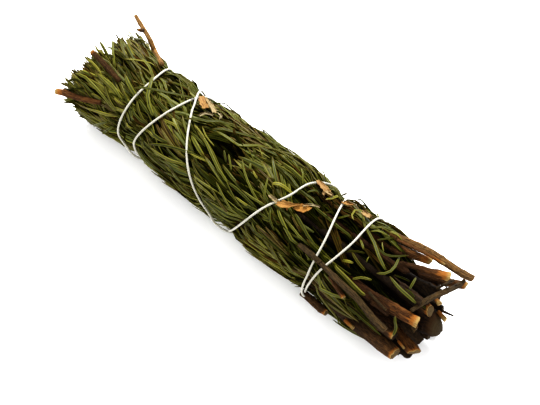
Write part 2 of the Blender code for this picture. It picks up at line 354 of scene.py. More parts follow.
@dataclass(frozen=True)
class Grooves:
    """Everything that presses the leaves in: the string, the side twigs and the bark flakes."""

    bundle: Bundle
    tracks: tuple[Track, ...]

    def press(self, station: np.ndarray, angle: np.ndarray) -> tuple[np.ndarray, np.ndarray]:
        """How deep the leaves are pressed in at each place, and as a share of the full press.

        Args:
            station: Stations of the places asked about.
            angle: Their angles in degrees.

        Returns:
            The depth and the share, each a smooth step down with the distance on the unrolled
            surface to the nearest line, and the greatest over all lines.
        """
        depth, share = np.zeros(station.shape), np.zeros(station.shape)
        for track in self.tracks:
            along = station[..., None] - track.stations
            turned = wrapped(angle[..., None] - track.angles)
            across = np.radians(turned) * self.bundle.radius(station)[..., None]
            distance = np.sqrt((along * along + across * across).min(axis=-1))
            part = smooth_step((track.far - distance) / (track.far - track.near))
            depth = np.maximum(depth, track.depth * part)
            share = np.maximum(share, part)
        return depth, share


# The string's route, as the source has it: station, angle all the way round, lift over another strand
STRING_ROUTE = (
    (50.5, -64, 0),
    (48.0, -48, 0),
    (46.6, -36, 0),
    (45.4, -15, 0),
    (43.6, 30, 0),
    (45.4, 79, 0),
    (45.7, 99, 0),
    (44.4, 120, 0),
    (41.9, 144, 0),
    (39.8, 171, 0),
    (37.3, 204, 0),
    (31.0, 270, 0),
    (24.5, 350, 0),
    (22.6, 390, 0),
    (18.4, 427, 0),
    (16.8, 457, 0),
    (12.1, 486, 0),
    (6.6, 524, 0),
    (0.2, 564, 0),
    (-2.5, 576, 0),
    (-7.0, 600, 0),
    (-13.0, 630, 0),
    (-31.0, 710, 0),
    (-36.0, 750, 0),
    (-37.6, 782, 0),
    (-38.6, 805, 0),
    (-41.0, 832, 0),
    (-46.4, 882, 0),
    (-46.6, 902, 0),
    (-45.2, 924, 0),
    (-47.4, 942, 0),
    (-49.4, 960, 0),
    (-52.0, 990, 0),
    (-56.5, 1070, 0),
    (-57.0, 1107, 0),
    (-54.1, 1159, 0),
    (-54.5, 1201, 0),
    (-55.2, 1248, 0),
    (-54.2, 1268, 0),
    (-50.2, 1284, 0.6),
    (-47.4, 1302, 1),
    (-45.2, 1320, 0),
    (-43.6, 1350, 0),
    (-41.5, 1430, 0),
    (-40.6, 1470, 0.3),
    (-38.6, 1494, 1),
    (-35.1, 1515, 0.3),
    (-32.8, 1529, 0),
    (-22.7, 1579, 0),
    (-11.5, 1622, 0),
    (-5.2, 1644, 0.8),
    (-2.6, 1656, 1),
    (-0.4, 1668, 0.6),
    (1.6, 1680, 0),
    (6.0, 1710, 0),
    (19.6, 1780, 0.3),
    (24.4, 1804, 1),
    (28.6, 1830, 0.3),
    (33.0, 1871, 0),
    (37.5, 1914, 0),
    (38.4, 1952, 0),
    (38.1, 1974, 0.5),
    (38.2, 1992, 1),
    (38.9, 2006, 0.5),
    (40.2, 2022, 0),
    (43.0, 2070, 0),
    (44.8, 2102, 0),
    (47.4, 2118, 1),
    (50.0, 2134, 0.6),
    (52.0, 2148, 0),
)


@dataclass(frozen=True)
class CottonString:
    """Thin three-ply cotton string, wound six times round the bundle."""

    bundle: Bundle
    radius: float = 0.43 * MM
    above_leaves: float = 1.05 * MM
    crossing_lift: float = 1.45 * MM
    plies: int = 3
    pitch: float = 3.2 * MM
    core: float = 0.896
    ply_bulge: float = 0.12
    uneven: tuple = ((0.04, 900.0), (0.03, 2300.0))
    end_taper: float = 0.8 * MM
    blunt_end: float = 0.05
    step: float = 0.4 * MM
    sides: int = 12
    rough_places: int = 2400
    track_places: int = 540
    samples_a_row: int = 12

    def route(self, count: int) -> np.ndarray:
        """Stations in metres, angles in degrees and lifts along the string.

        Args:
            count: How many places to give.

        Returns:
            One row for each place, evenly spread in angle.
        """
        places = np.array(STRING_ROUTE, float)
        fine = smooth_line(places, self.samples_a_row * len(places))
        angles = np.linspace(places[0, 1], places[-1, 1], count)
        stations = np.interp(angles, fine[:, 1], fine[:, 0]) * MM
        lifts = np.clip(np.interp(angles, fine[:, 1], fine[:, 2]), 0.0, 1.0)
        return np.column_stack((stations, angles, smooth_step(lifts)))

    def track(self) -> Track:
        """The line along which the string presses the leaves in."""
        stations, angles, _ = self.route(self.track_places).T
        form = self.bundle
        return Track(stations, angles, form.groove_near, form.groove_far, form.leaf_press)

    def centre_line(self) -> tuple[np.ndarray, np.ndarray]:
        """The string's middle, in the groove that it makes.

        Returns:
            Points a step apart, and the bundle's outward direction at each.
        """
        station, turn, lift = self.route(self.rough_places).T
        surface = self.bundle.free_surface(station, turn)
        sunk = surface - self.bundle.groove_depth + self.above_leaves
        points = self.bundle.point(station, turn, sunk + self.crossing_lift * lift)
        run = run_along(points)
        places = np.arange(0.0, run[-1], self.step)
        even = np.column_stack([np.interp(places, run, points[:, axis]) for axis in range(3)])
        return even, self.bundle.outward(np.interp(places, run, turn))

    def build(self, material: bpy.types.Material) -> bpy.types.Object:
        """Make the string: a three-lobed section that turns once a pitch along the centre line.

        The radius is r (core + bulge cos(3 (a - turn))), with both ends drawn in and a little
        loose.

        Args:
            material: The string's finish.

        Returns:
            The string's object.
        """
        centre, out = self.centre_line()
        tangent = unit(np.gradient(centre, axis=0))
        side = unit(np.cross(tangent, out))
        up = np.cross(side, tangent)
        run = np.arange(len(centre)) * self.step
        twist = math.tau * run / self.pitch
        around = np.linspace(0, math.tau, self.sides, endpoint=False)
        lobe = np.cos(self.plies * (around - twist[:, None]))
        slack = 1.0 + sum(share * np.sin(run * waves) for share, waves in self.uneven)
        ends = np.minimum(run, run[-1] - run) / self.end_taper
        taper = np.sqrt(np.clip(ends, self.blunt_end, 1.0))
        radius = self.radius * (self.core + self.ply_bulge * lobe) * (slack * taper)[:, None]
        grid = (
            centre[:, None]
            + radius[..., None] * np.cos(around)[:, None] * side[:, None]
            + radius[..., None] * np.sin(around)[:, None] * up[:, None]
        )
        parts = (run[:, None] / MM, around / math.tau, 0.5 + 0.5 * lobe)
        place = np.stack(np.broadcast_arrays(*parts), axis=-1)
        vertices, place, triangles = close_ends(grid, place)
        quads = ring_quads(len(centre), self.sides)[:, ::-1]
        mesh = MeshArrays(vertices, quads, triangles[:, ::-1], {"ply": place})
        return mesh.build("cotton_string", material)


def close_ends(grid: np.ndarray, place: np.ndarray) -> tuple[np.ndarray, np.ndarray, np.ndarray]:
    """Close a tube's first and last rings with a fan round a middle vertex.

    Args:
        grid: Vertices of the rings, (rows, sides, 3).
        place: An attribute of the same shape.

    Returns:
        All vertices, all attribute values, and the fans' triangles, which point outwards
        where ring_quads does.
    """
    rows, sides = grid.shape[:2]
    vertices = np.vstack((grid.reshape(-1, 3), grid[0].mean(axis=0), grid[-1].mean(axis=0)))
    values = np.vstack((place.reshape(-1, 3), place[0].mean(axis=0), place[-1].mean(axis=0)))
    first, last = rows * sides, rows * sides + 1
    number = np.arange(sides)
    following = (number + 1) % sides
    start = np.stack((following, number, np.full(sides, first)), axis=-1)
    final = (rows - 1) * sides
    end = np.stack((number + final, following + final, np.full(sides, last)), axis=-1)
    return vertices, values, np.vstack((start, end))


# Leaves


@dataclass(frozen=True)
class LeafShape:
    """One needle leaf: narrow, grooved on top, with rolled edges and a raised rib below."""

    section: tuple = (
        (-1.0, 0.0),
        (-0.62, 0.62),
        (0.0, 0.30),
        (0.62, 0.62),
        (1.0, 0.0),
        (0.52, -0.42),
        (0.0, -0.30),
        (-0.52, -0.42),
    )
    rows: tuple = (0.0, 0.1, 0.3, 0.52, 0.74, 0.9, 1.0)
    widths: tuple = (0.50, 0.84, 1.0, 1.0, 0.94, 0.74, 0.26)
    thickness: float = 0.55

    def faces(self, count: int) -> np.ndarray:
        """Faces of many leaves, each a closed tube of rings with three quads at either end.

        Args:
            count: How many leaves there are.

        Returns:
            Vertex numbers, four a row.
        """
        sides, rows = len(self.section), len(self.rows)
        body = ring_quads(rows, sides)
        cap = np.array(((0, 7, 2, 1), (7, 6, 3, 2), (6, 5, 4, 3)))
        one = np.vstack((body, cap, cap[:, ::-1] + (rows - 1) * sides))
        return (one[:, ::-1] + np.arange(count)[:, None, None] * rows * sides).reshape(-1, 4)

    def vertices(self, line: np.ndarray, face: np.ndarray, width: np.ndarray) -> np.ndarray:
        """Sweep the section along each leaf's line.

        Args:
            line: Middle of each leaf at each row, (leaves, rows, 3).
            face: Which way each leaf's upper side looks there, the same shape.
            width: Width of each leaf.

        Returns:
            Vertices in the order that faces expects, (leaves, rows, sides, 3).
        """
        tangent = unit(np.gradient(line, axis=1))
        across = unit(np.cross(face, tangent))
        upward = np.cross(tangent, across)
        half = (width[:, None] * np.array(self.widths) / 2)[..., None, None]
        section = np.array(self.section)
        return line[:, :, None] + half * (
            section[:, :1] * across[:, :, None] + self.thickness * section[:, 1:] * upward[:, :, None]
        )

    def place(self, count: int) -> np.ndarray:
        """Place on the leaf of every vertex.

        Args:
            count: How many leaves there are.

        Returns:
            For each vertex how far it is along from root to tip, how far across, and 1 on the
            upper side.
        """
        across, height = np.array(self.section).T
        along = np.array(self.rows)[:, None]
        upper = (height >= 0.0).astype(float)
        one = np.stack(np.broadcast_arrays(along, across, upper), axis=-1)
        return np.broadcast_to(one, (count, *one.shape))


@dataclass
class Leaves:
    """Leaves to be laid on the bundle, each a row of these arrays."""

    station: np.ndarray
    angle: np.ndarray
    heading: np.ndarray
    length: np.ndarray
    width: np.ndarray
    depth: np.ndarray
    rise: np.ndarray
    bend: np.ndarray
    roll: np.ndarray
    tone: np.ndarray
    share: np.ndarray


@dataclass
class SweptLeaves:
    """Leaves as lines to sweep: points, which way the upper side looks, width and tone of each."""

    line: np.ndarray
    face: np.ndarray
    width: np.ndarray
    tone: np.ndarray

    @property
    def middle(self) -> np.ndarray:
        """The middle point of each leaf."""
        return self.line[:, self.line.shape[1] // 2]

    @staticmethod
    def joined(parts: list["SweptLeaves"]) -> "SweptLeaves":
        """The leaves of all the parts, in order."""
        names = SweptLeaves.__dataclass_fields__
        return SweptLeaves(*(np.concatenate([getattr(part, name) for part in parts]) for name in names))

    def chosen(self, keep: np.ndarray) -> "SweptLeaves":
        """Only the leaves that a mask keeps."""
        return SweptLeaves(self.line[keep], self.face[keep], self.width[keep], self.tone[keep])


@dataclass(frozen=True)
class LeafMaker:
    """Lays leaves along the bundle, pressed under the string, and makes their mesh."""

    bundle: Bundle
    grooves: Grooves
    shape: LeafShape
    material: bpy.types.Material
    root_dip: float = 2.2 * MM
    least_depth: float = 0.25 * MM
    line_above_table: float = 0.6 * MM
    leaf_above_table: float = 0.05 * MM

    def sweep(self, leaves: Leaves) -> SweptLeaves:
        """Middle line of each leaf and which way its face looks.

        A leaf runs from its root towards the tips, turned by its heading on the unrolled
        surface. Its distance from the axis is a share of the surface's, less its depth, with
        its root sunk by the square of what is left and its tip raised by the square of the way.

        Args:
            leaves: The leaves.

        Returns:
            Their lines, (leaves, rows, 3), with the rest.
        """
        t = np.array(self.shape.rows)
        turn = np.radians(leaves.heading)[:, None] + np.radians(leaves.bend)[:, None] * t
        run = leaves.length[:, None] * t
        station = leaves.station[:, None] - run * np.cos(turn)
        radius = self.bundle.radius(leaves.station)[:, None]
        share = leaves.share[:, None]
        angle = leaves.angle[:, None] + np.degrees(run * np.sin(turn) / (radius * share))
        dip, pressed = self.grooves.press(station, angle)
        surface = self.bundle.free_surface(station, angle) - dip
        depth = leaves.depth[:, None] + self.root_dip * (1 - t) ** 2
        rise = leaves.rise[:, None] * t * t * (1 - pressed)
        held = np.where(pressed > 0.5, np.maximum(depth, self.least_depth), depth)
        line = self.bundle.point(station, angle, share * surface - held + rise)
        line[..., 2] = np.maximum(line[..., 2], self.line_above_table)
        tangent = unit(np.gradient(line, axis=1))
        out = self.bundle.outward(angle)
        side = unit(np.cross(out, tangent))
        lifted = np.cross(tangent, side)
        roll = np.radians(leaves.roll)[:, None, None]
        face = lifted * np.cos(roll) + side * np.sin(roll)
        return SweptLeaves(line, face, leaves.width, leaves.tone)

    def build(self, name: str, leaves: SweptLeaves) -> bpy.types.Object:
        """Make the leaves' mesh.

        Args:
            name: The piece's name.
            leaves: The leaves.

        Returns:
            The piece.
        """
        count = len(leaves.line)
        vertices = self.shape.vertices(leaves.line, leaves.face, leaves.width)
        vertices[..., 2] = np.maximum(vertices[..., 2], self.leaf_above_table)
        tone = np.broadcast_to(leaves.tone[:, None, None], vertices.shape)
        attributes = {"leaf_place": self.shape.place(count), "leaf_tone": tone}
        flat = {title: values.reshape(-1, 3) for title, values in attributes.items()}
        mesh = MeshArrays(vertices.reshape(-1, 3), self.shape.faces(count), NO_TRIANGLES, flat)
        return mesh.build(name, self.material)


@dataclass(frozen=True)
class Flow:
    """The leaves' main heading: steep at the front, with slow waves over the bundle.

    Each hump is its height in degrees, and its middle and reach in degrees round the bundle.
    """

    humps: tuple = ((-15.0, 130.0, 42.0), (5.0, 60.0, 25.0))
    sway: float = 6.0
    long_wave: float = 17.0
    short_wave: float = 9.5
    start: float = 1.3
    swing: float = 1.1
    spiral: float = 2.0

    def heading(self, station: np.ndarray, angle: np.ndarray) -> np.ndarray:
        """Heading off the bundle's axis: humps round it, and sines of the station and the turn.

        Args:
            station: Stations in millimetres.
            angle: Angles in degrees.

        Returns:
            The heading at each place in degrees.
        """
        turn = np.radians(angle)
        front = sum(high * np.exp(-(((angle - mid) / reach) ** 2)) for high, mid, reach in self.humps)
        wave = self.sway * np.sin(station / self.long_wave + self.start + self.swing * np.cos(turn))
        cross_wave = self.sway * np.sin(station / self.short_wave - self.spiral * turn)
        return front + wave + cross_wave


@dataclass(frozen=True)
class LeafHabit:
    """How leaves grow in a twiglet, in millimetres and degrees.

    A pair is a mean and a spread, or two limits. Each of the tones, which are brightness,
    yellowness and brownness, has its mean, its spread from twiglet to twiglet and from leaf
    to leaf, and its two limits.
    """

    leaves: int = 15
    shoot: float = 15.0
    long_shoots: float = 0.7
    short_shoot: float = 0.5
    crowding: float = 0.6
    typical_radius: float = 18.0
    from_tip: float = 12.0
    past_leaf_end: float = 1.0
    root_from_tip: tuple = (9.0, 6.0)
    stop_from_tip: tuple = (1.0, 6.0)
    heading_spread: float = 9.0
    fan: tuple = (9.0, 9.0)
    angle_spread: float = 1.6
    length: tuple = (21.5, 3.4)
    least_length: float = 5.0
    width: tuple = (1.18, 0.2)
    width_limits: tuple = (0.8, 1.75)
    tones: tuple = (
        (0.37, 0.19, 0.32, 0.04, 1.4),
        (0.40, 0.20, 0.22, 0.0, 1.0),
        (-0.35, 0.55, 0.50, 0.0, 0.9),
    )
    depth: tuple = (0.2, 0.75)
    rise: tuple = (1.5, 0.26)
    bend: float = 4.5
    unfan: float = 0.25
    roll: float = 26.0
    upside_down: float = 0.13
    outer_layers: tuple = ((Layer.DEEP, 8), (Layer.MIDDLE, 12), (Layer.OUTER, 16))
    inner_layers: tuple = ((Layer.DEEP, 5), (Layer.MIDDLE, 8))


# Dark hollows between the leaves seen in the photograph, whose leaves are painted darker as painted shade:
# station, angle, and half length along and across
HOLLOWS = (
    (-14.5, 100, 5.5, 4.4),
    (29.5, 101, 5.2, 3.8),
    (36.0, 117, 4.0, 3.0),
    (43.5, 107, 6.5, 4.0),
    (52.5, 109, 7.0, 4.2),
    (52.0, 92, 7.0, 3.4),
    (61.0, 113, 7.0, 3.6),
    (62.0, 91, 7.0, 4.0),
    (69.0, 88, 6.0, 4.0),
)

# Patches of painted light and shade on the leaves: painted light on the lower front, painted shade
# near the hollows and over the bare stems, and at the tips painted light with the leaves' own
# browning. Columns: station, angle, reach along and in degrees round, gain, browner by
LIGHT_AND_SHADE_PATCHES = (
    (-76, 100, 17, 110, 2.9, 0.34),
    (48, 98, 20, 30, 0.78, 0.0),
    (66, 105, 15, 70, 0.72, 0.0),
    (10, 196, 60, 26, 2.2, 0.08),
)


@dataclass(frozen=True)
class Shading:
    """The bundle's dark hollows, whose leaves are painted darker as painted shade, and its patches of
    painted light and painted shade on the leaves.
    """

    bundle: Bundle
    hollow_depth: float = 3.4 * MM
    hollow_painted_shade: float = 0.35

    def reach(self, line: np.ndarray) -> np.ndarray:
        """How far each point lies from the nearest hollow's middle, 1 at the edge of its ellipse.

        Args:
            line: Points on leaves, (leaves, rows, 3).

        Returns:
            The reach of every point.
        """
        angle = self.bundle.angle_of(line)
        radius = self.bundle.radius(line[..., 0])
        reach = np.full(line.shape[:2], np.inf)
        for station, turn, half_along, half_across in HOLLOWS:
            along = (line[..., 0] / MM - station) / half_along
            across = np.radians(wrapped(angle - turn)) * radius / MM / half_across
            reach = np.minimum(reach, np.hypot(along, across))
        return reach

    def covered(self, line: np.ndarray) -> np.ndarray:
        """Whether each leaf would cover a hollow close under the surface.

        Args:
            line: Points on leaves, (leaves, rows, 3).

        Returns:
            True for each leaf that would.
        """
        from_axis = np.linalg.norm(line[..., 1:] - (0.0, self.bundle.axis_height), axis=-1)
        shallow = self.bundle.radius(line[..., 0]) - from_axis < self.hollow_depth
        return ((self.reach(line) < 1.0) & shallow).any(axis=1)

    def applied(self, leaves: SweptLeaves) -> SweptLeaves:
        """Leaves with the painted light and shade and the brownness of the patches that they lie in.

        A leaf's brightness, as painted light and shade, is multiplied by each patch's gain to the power
        of exp(-d squared), d being the distance of the leaf's middle in reaches, and is lower in the
        hollows, as painted shade.

        Args:
            leaves: The leaves.

        Returns:
            The same leaves with their new tones.
        """
        middle = leaves.middle
        angle = self.bundle.angle_of(middle)
        tone = leaves.tone.copy()
        in_hollow = self.reach(leaves.line).min(axis=1) < 1.0
        # Painted shade: leaves in a hollow are darkened.
        tone[:, 0] *= np.where(in_hollow, self.hollow_painted_shade, 1.0)
        # Painted light where a gain is above one and painted shade where it is below; browner is the
        # leaves' own colour.
        for station, turn, along, around, gain, browner in LIGHT_AND_SHADE_PATCHES:
            away = ((middle[:, 0] / MM - station) / along) ** 2
            near = np.exp(-(away + (wrapped(angle - turn) / around) ** 2))
            tone[:, 0] *= gain**near
            tone[:, 2] += browner * near
        return SweptLeaves(leaves.line, leaves.face, leaves.width, tone)


# Stems and twigs


@dataclass(frozen=True)
class WoodShape:
    """A woody stem: a tube with ridged bark, swollen joints and a cut end.

    Each ring of the cut is its share of the radius, and how far it stands out as another share.
    A fade darkens the bark away from the cut end, as painted shade deeper in the bundle.
    """

    sides: int = 20
    rows: int = 56
    ridge: float = 0.07
    ridge_counts: tuple = (3, 5, 8)
    ridge_drift: float = 11.0 * MM
    joint: float = 0.14
    joint_spacing: float = 9.0 * MM
    joint_spread: float = 0.006
    peel_step: float = 0.1
    peel_edge: float = 1.5
    sway: float = 0.12
    sway_length: float = 7.0 * MM
    slant: float = 0.35
    raggedness: float = 0.05
    rim_power: int = 24
    across: tuple = (0.31, 0.13, 0.94)
    dome: float = 0.0
    dome_back: float = 0.55
    cut_rings: tuple = ((0.95, 0.06), (0.88, 0.09), (0.6, 0.07), (0.35, 0.09), (0.15, 0.05))
    shade_spread: float = 0.06
    fade: float = 0.0
    fade_from: float = 4.0
    fade_length: float = 14.0

    def thickness(self, run: np.ndarray, around: np.ndarray, phase: np.ndarray) -> np.ndarray:
        """Share of the radius at every vertex of the bark.

        It is one, plus a sum of sines round and along the stem, plus a low bump at each joint.

        Args:
            run: Way along the stem at each ring.
            around: Angles round it in radians.
            phase: Six random phases.

        Returns:
            The share, (rings, sides).
        """
        ridges = sum(
            np.sin(count * around + near + 0.4 * count * np.sin(run[:, None] / self.ridge_drift + far))
            / (1 + 0.25 * count)
            for count, near, far in zip(self.ridge_counts, phase[:3], phase[3:])
        )
        from_joint = (run / self.joint_spacing + phase[0]) % 1.0 - 0.5
        joints = np.exp(-(from_joint**2) / self.joint_spread)
        return 1 + self.ridge * ridges + self.joint * joints[:, None]

    def sweep(self, points: np.ndarray, radii: np.ndarray, bark: Bark, seed: int) -> MeshArrays:
        """Sweep the ridged section along a smooth line and close it with cut faces.

        Args:
            points: Points that the stem's middle passes through.
            radii: Its radius at each.
            bark: Its look.
            seed: Changes the bark's ridges.

        Returns:
            The stem's mesh.
        """
        red, bright, pale, peel, cut = bark.value
        rng = np.random.default_rng(seed)
        points = np.array(points)
        points[-1] -= self.dome_back * self.dome * radii[-1] * unit(points[-1] - points[-2])
        both = smooth_line(np.column_stack((points, radii)), self.rows)
        centre, radius = both[:, :3], both[:, 3]
        run = run_along(centre)
        from_cut = run[-1] - run
        tangent = unit(np.gradient(centre, axis=0))
        side = unit(np.cross(tangent, self.across))
        up = np.cross(side, tangent)
        sway, bow = (np.sin(run / self.sway_length + late)[:, None] for late in rng.uniform(*PHASES, 2))
        centre = centre + self.sway * radius[:, None] * (side * sway + up * bow)

        around = np.linspace(0, math.tau, self.sides, endpoint=False)
        frame = np.cos(around)[:, None] * side[:, None] + np.sin(around)[:, None] * up[:, None]
        peeled = 1.0 - self.peel_step * smooth_step(self.peel_edge - from_cut / max(peel * MM, 1e-6))
        share = self.thickness(run, around, rng.uniform(*PHASES, 6))
        swell = (radius * peeled)[:, None] * share
        body = centre[:, None] + swell[..., None] * frame

        leans = rng.uniform(-self.slant, self.slant, 2)
        ragged = rng.normal(0, self.raggedness, self.sides)
        tilt = leans[0] * np.cos(around) + leans[1] * np.sin(around) + ragged
        near_end = np.linspace(0, 1, self.rows)[:, None] ** self.rim_power
        rings = [body + (near_end * tilt * radius[-1])[..., None] * tangent[-1]]
        for share, out in self.cut_rings:
            lift = tilt * share + (out + self.dome * math.sqrt(1.0 - share * share))
            ring = centre[-1] + share * swell[-1][:, None] * frame[-1]
            rings.append((ring + (lift * radius[-1])[:, None] * tangent[-1])[None])
        grid = np.vstack(rings)

        radial = np.concatenate((np.ones(self.rows), [share for share, _ in self.cut_rings]))
        along = np.append(from_cut, np.zeros(len(self.cut_rings))) / MM
        place = (along[:, None], around / math.tau, radial[:, None])
        vertices, place, triangles = close_ends(grid, np.stack(np.broadcast_arrays(*place), axis=-1))
        place[-1, 2] = 0.0
        shift = rng.uniform(-self.shade_spread, self.shade_spread)
        # Painted shade: the bark grows darker away from the cut, by the fade.
        painted_shade = 1.0 - self.fade * smooth_step((place[:, 0] - self.fade_from) / self.fade_length)
        tone = np.broadcast_arrays(red + shift, (bright + shift) * painted_shade, pale)
        attributes = {
            "wood_place": place,
            "wood_tone": np.stack(tone, axis=-1),
            "wood_end": np.broadcast_to((peel, cut, rng.uniform(0, 1)), vertices.shape),
        }
        quads = ring_quads(len(grid), self.sides)
        return MeshArrays(vertices, quads[:, ::-1], triangles[:, ::-1], attributes)


def camera_back(azimuth: float, elevation: float) -> np.ndarray:
    """Unit vector from the object to a camera at two angles in degrees."""
    turn, rise = math.radians(azimuth), math.radians(elevation)
    return np.array((math.sin(turn) * math.cos(rise), -math.cos(turn) * math.cos(rise), math.sin(rise)))


def facing(back: np.ndarray) -> tuple[np.ndarray, np.ndarray, np.ndarray]:
    """Right, up and backward directions of a level camera or lamp, from the last."""
    right = unit(np.cross((0.0, 0.0, 1.0), back))
    return right, np.cross(back, right), back


def placed(axes: tuple, place: np.ndarray) -> Matrix:
    """Matrix of an object.

    Args:
        axes: Its three axes.
        place: Where it is.

    Returns:
        The matrix.
    """
    matrix = np.eye(4)
    matrix[:3] = np.column_stack((*axes, place))
    return Matrix(matrix.tolist())


@dataclass(frozen=True)
class PhotoView:
    """The photograph's camera, and the places on the bundle that its pixels show."""

    bundle: Bundle
    azimuth: float = 42.0
    elevation: float = 58.0
    distance: float = 0.60
    target: tuple = (5.0 * MM, 0.0, 16.0 * MM)
    pixel: float = 0.36 * MM
    frame_width: int = 540
    frame_height: int = 405
    target_pixel: tuple = (268.7, 198.9)
    sensor: float = 36.0
    nearest: float = 0.01
    search_range: tuple = (-0.11, 0.09)
    search_steps: int = 800

    @property
    def focal_pixels(self) -> float:
        """Focal length in pixels."""
        return self.distance / self.pixel

    def axes(self) -> tuple[np.ndarray, np.ndarray, np.ndarray]:
        """The camera's right, up and backward directions."""
        return facing(camera_back(self.azimuth, self.elevation))

    def eye(self) -> np.ndarray:
        """Place of the camera."""
        return np.array(self.target) + self.distance * self.axes()[2]

    def onto(self, pixels: np.ndarray, above: np.ndarray) -> np.ndarray:
        """Places on the bundle that pixels of the photograph show.

        A ray that misses the bundle gives its nearest place to it.

        Args:
            pixels: Pixel places, x to the right and y down, one a row.
            above: Height of each place above the bundle's surface.

        Returns:
            Points, one a row.
        """
        right, up, back = self.axes()
        across = (pixels[:, :1] - self.target_pixel[0]) / self.focal_pixels
        upward = (self.target_pixel[1] - pixels[:, 1:]) / self.focal_pixels
        ray = across * right + upward * up - back
        nearest, farthest = (self.distance + reach for reach in self.search_range)
        way = np.linspace(nearest, farthest, self.search_steps)
        points = self.eye() + way[:, None] * ray[:, None]
        from_axis = np.linalg.norm(points[..., 1:] - (0.0, self.bundle.axis_height), axis=-1)
        surface = self.bundle.free_surface(points[..., 0], self.bundle.angle_of(points))
        gap = from_axis - surface - above[:, None]
        hit = gap <= 0
        index = np.where(hit.any(axis=1), hit.argmax(axis=1), gap.argmin(axis=1))
        return points[np.arange(len(points)), index]

    def build(self) -> bpy.types.Object:
        """Make the camera and set it as the scene's own.

        Returns:
            The camera.
        """
        data = bpy.data.cameras.new("photo_camera")
        data.sensor_width = self.sensor
        data.lens = self.sensor * self.focal_pixels / self.frame_width
        data.shift_x = (self.frame_width / 2 - self.target_pixel[0]) / self.frame_width
        data.shift_y = (self.target_pixel[1] - self.frame_height / 2) / self.frame_width
        data.clip_start = self.nearest
        camera = bpy.data.objects.new("photo_camera", data)
        camera.matrix_world = placed(self.axes(), self.eye())
        bpy.context.scene.collection.objects.link(camera)
        bpy.context.scene.camera = camera
        return camera


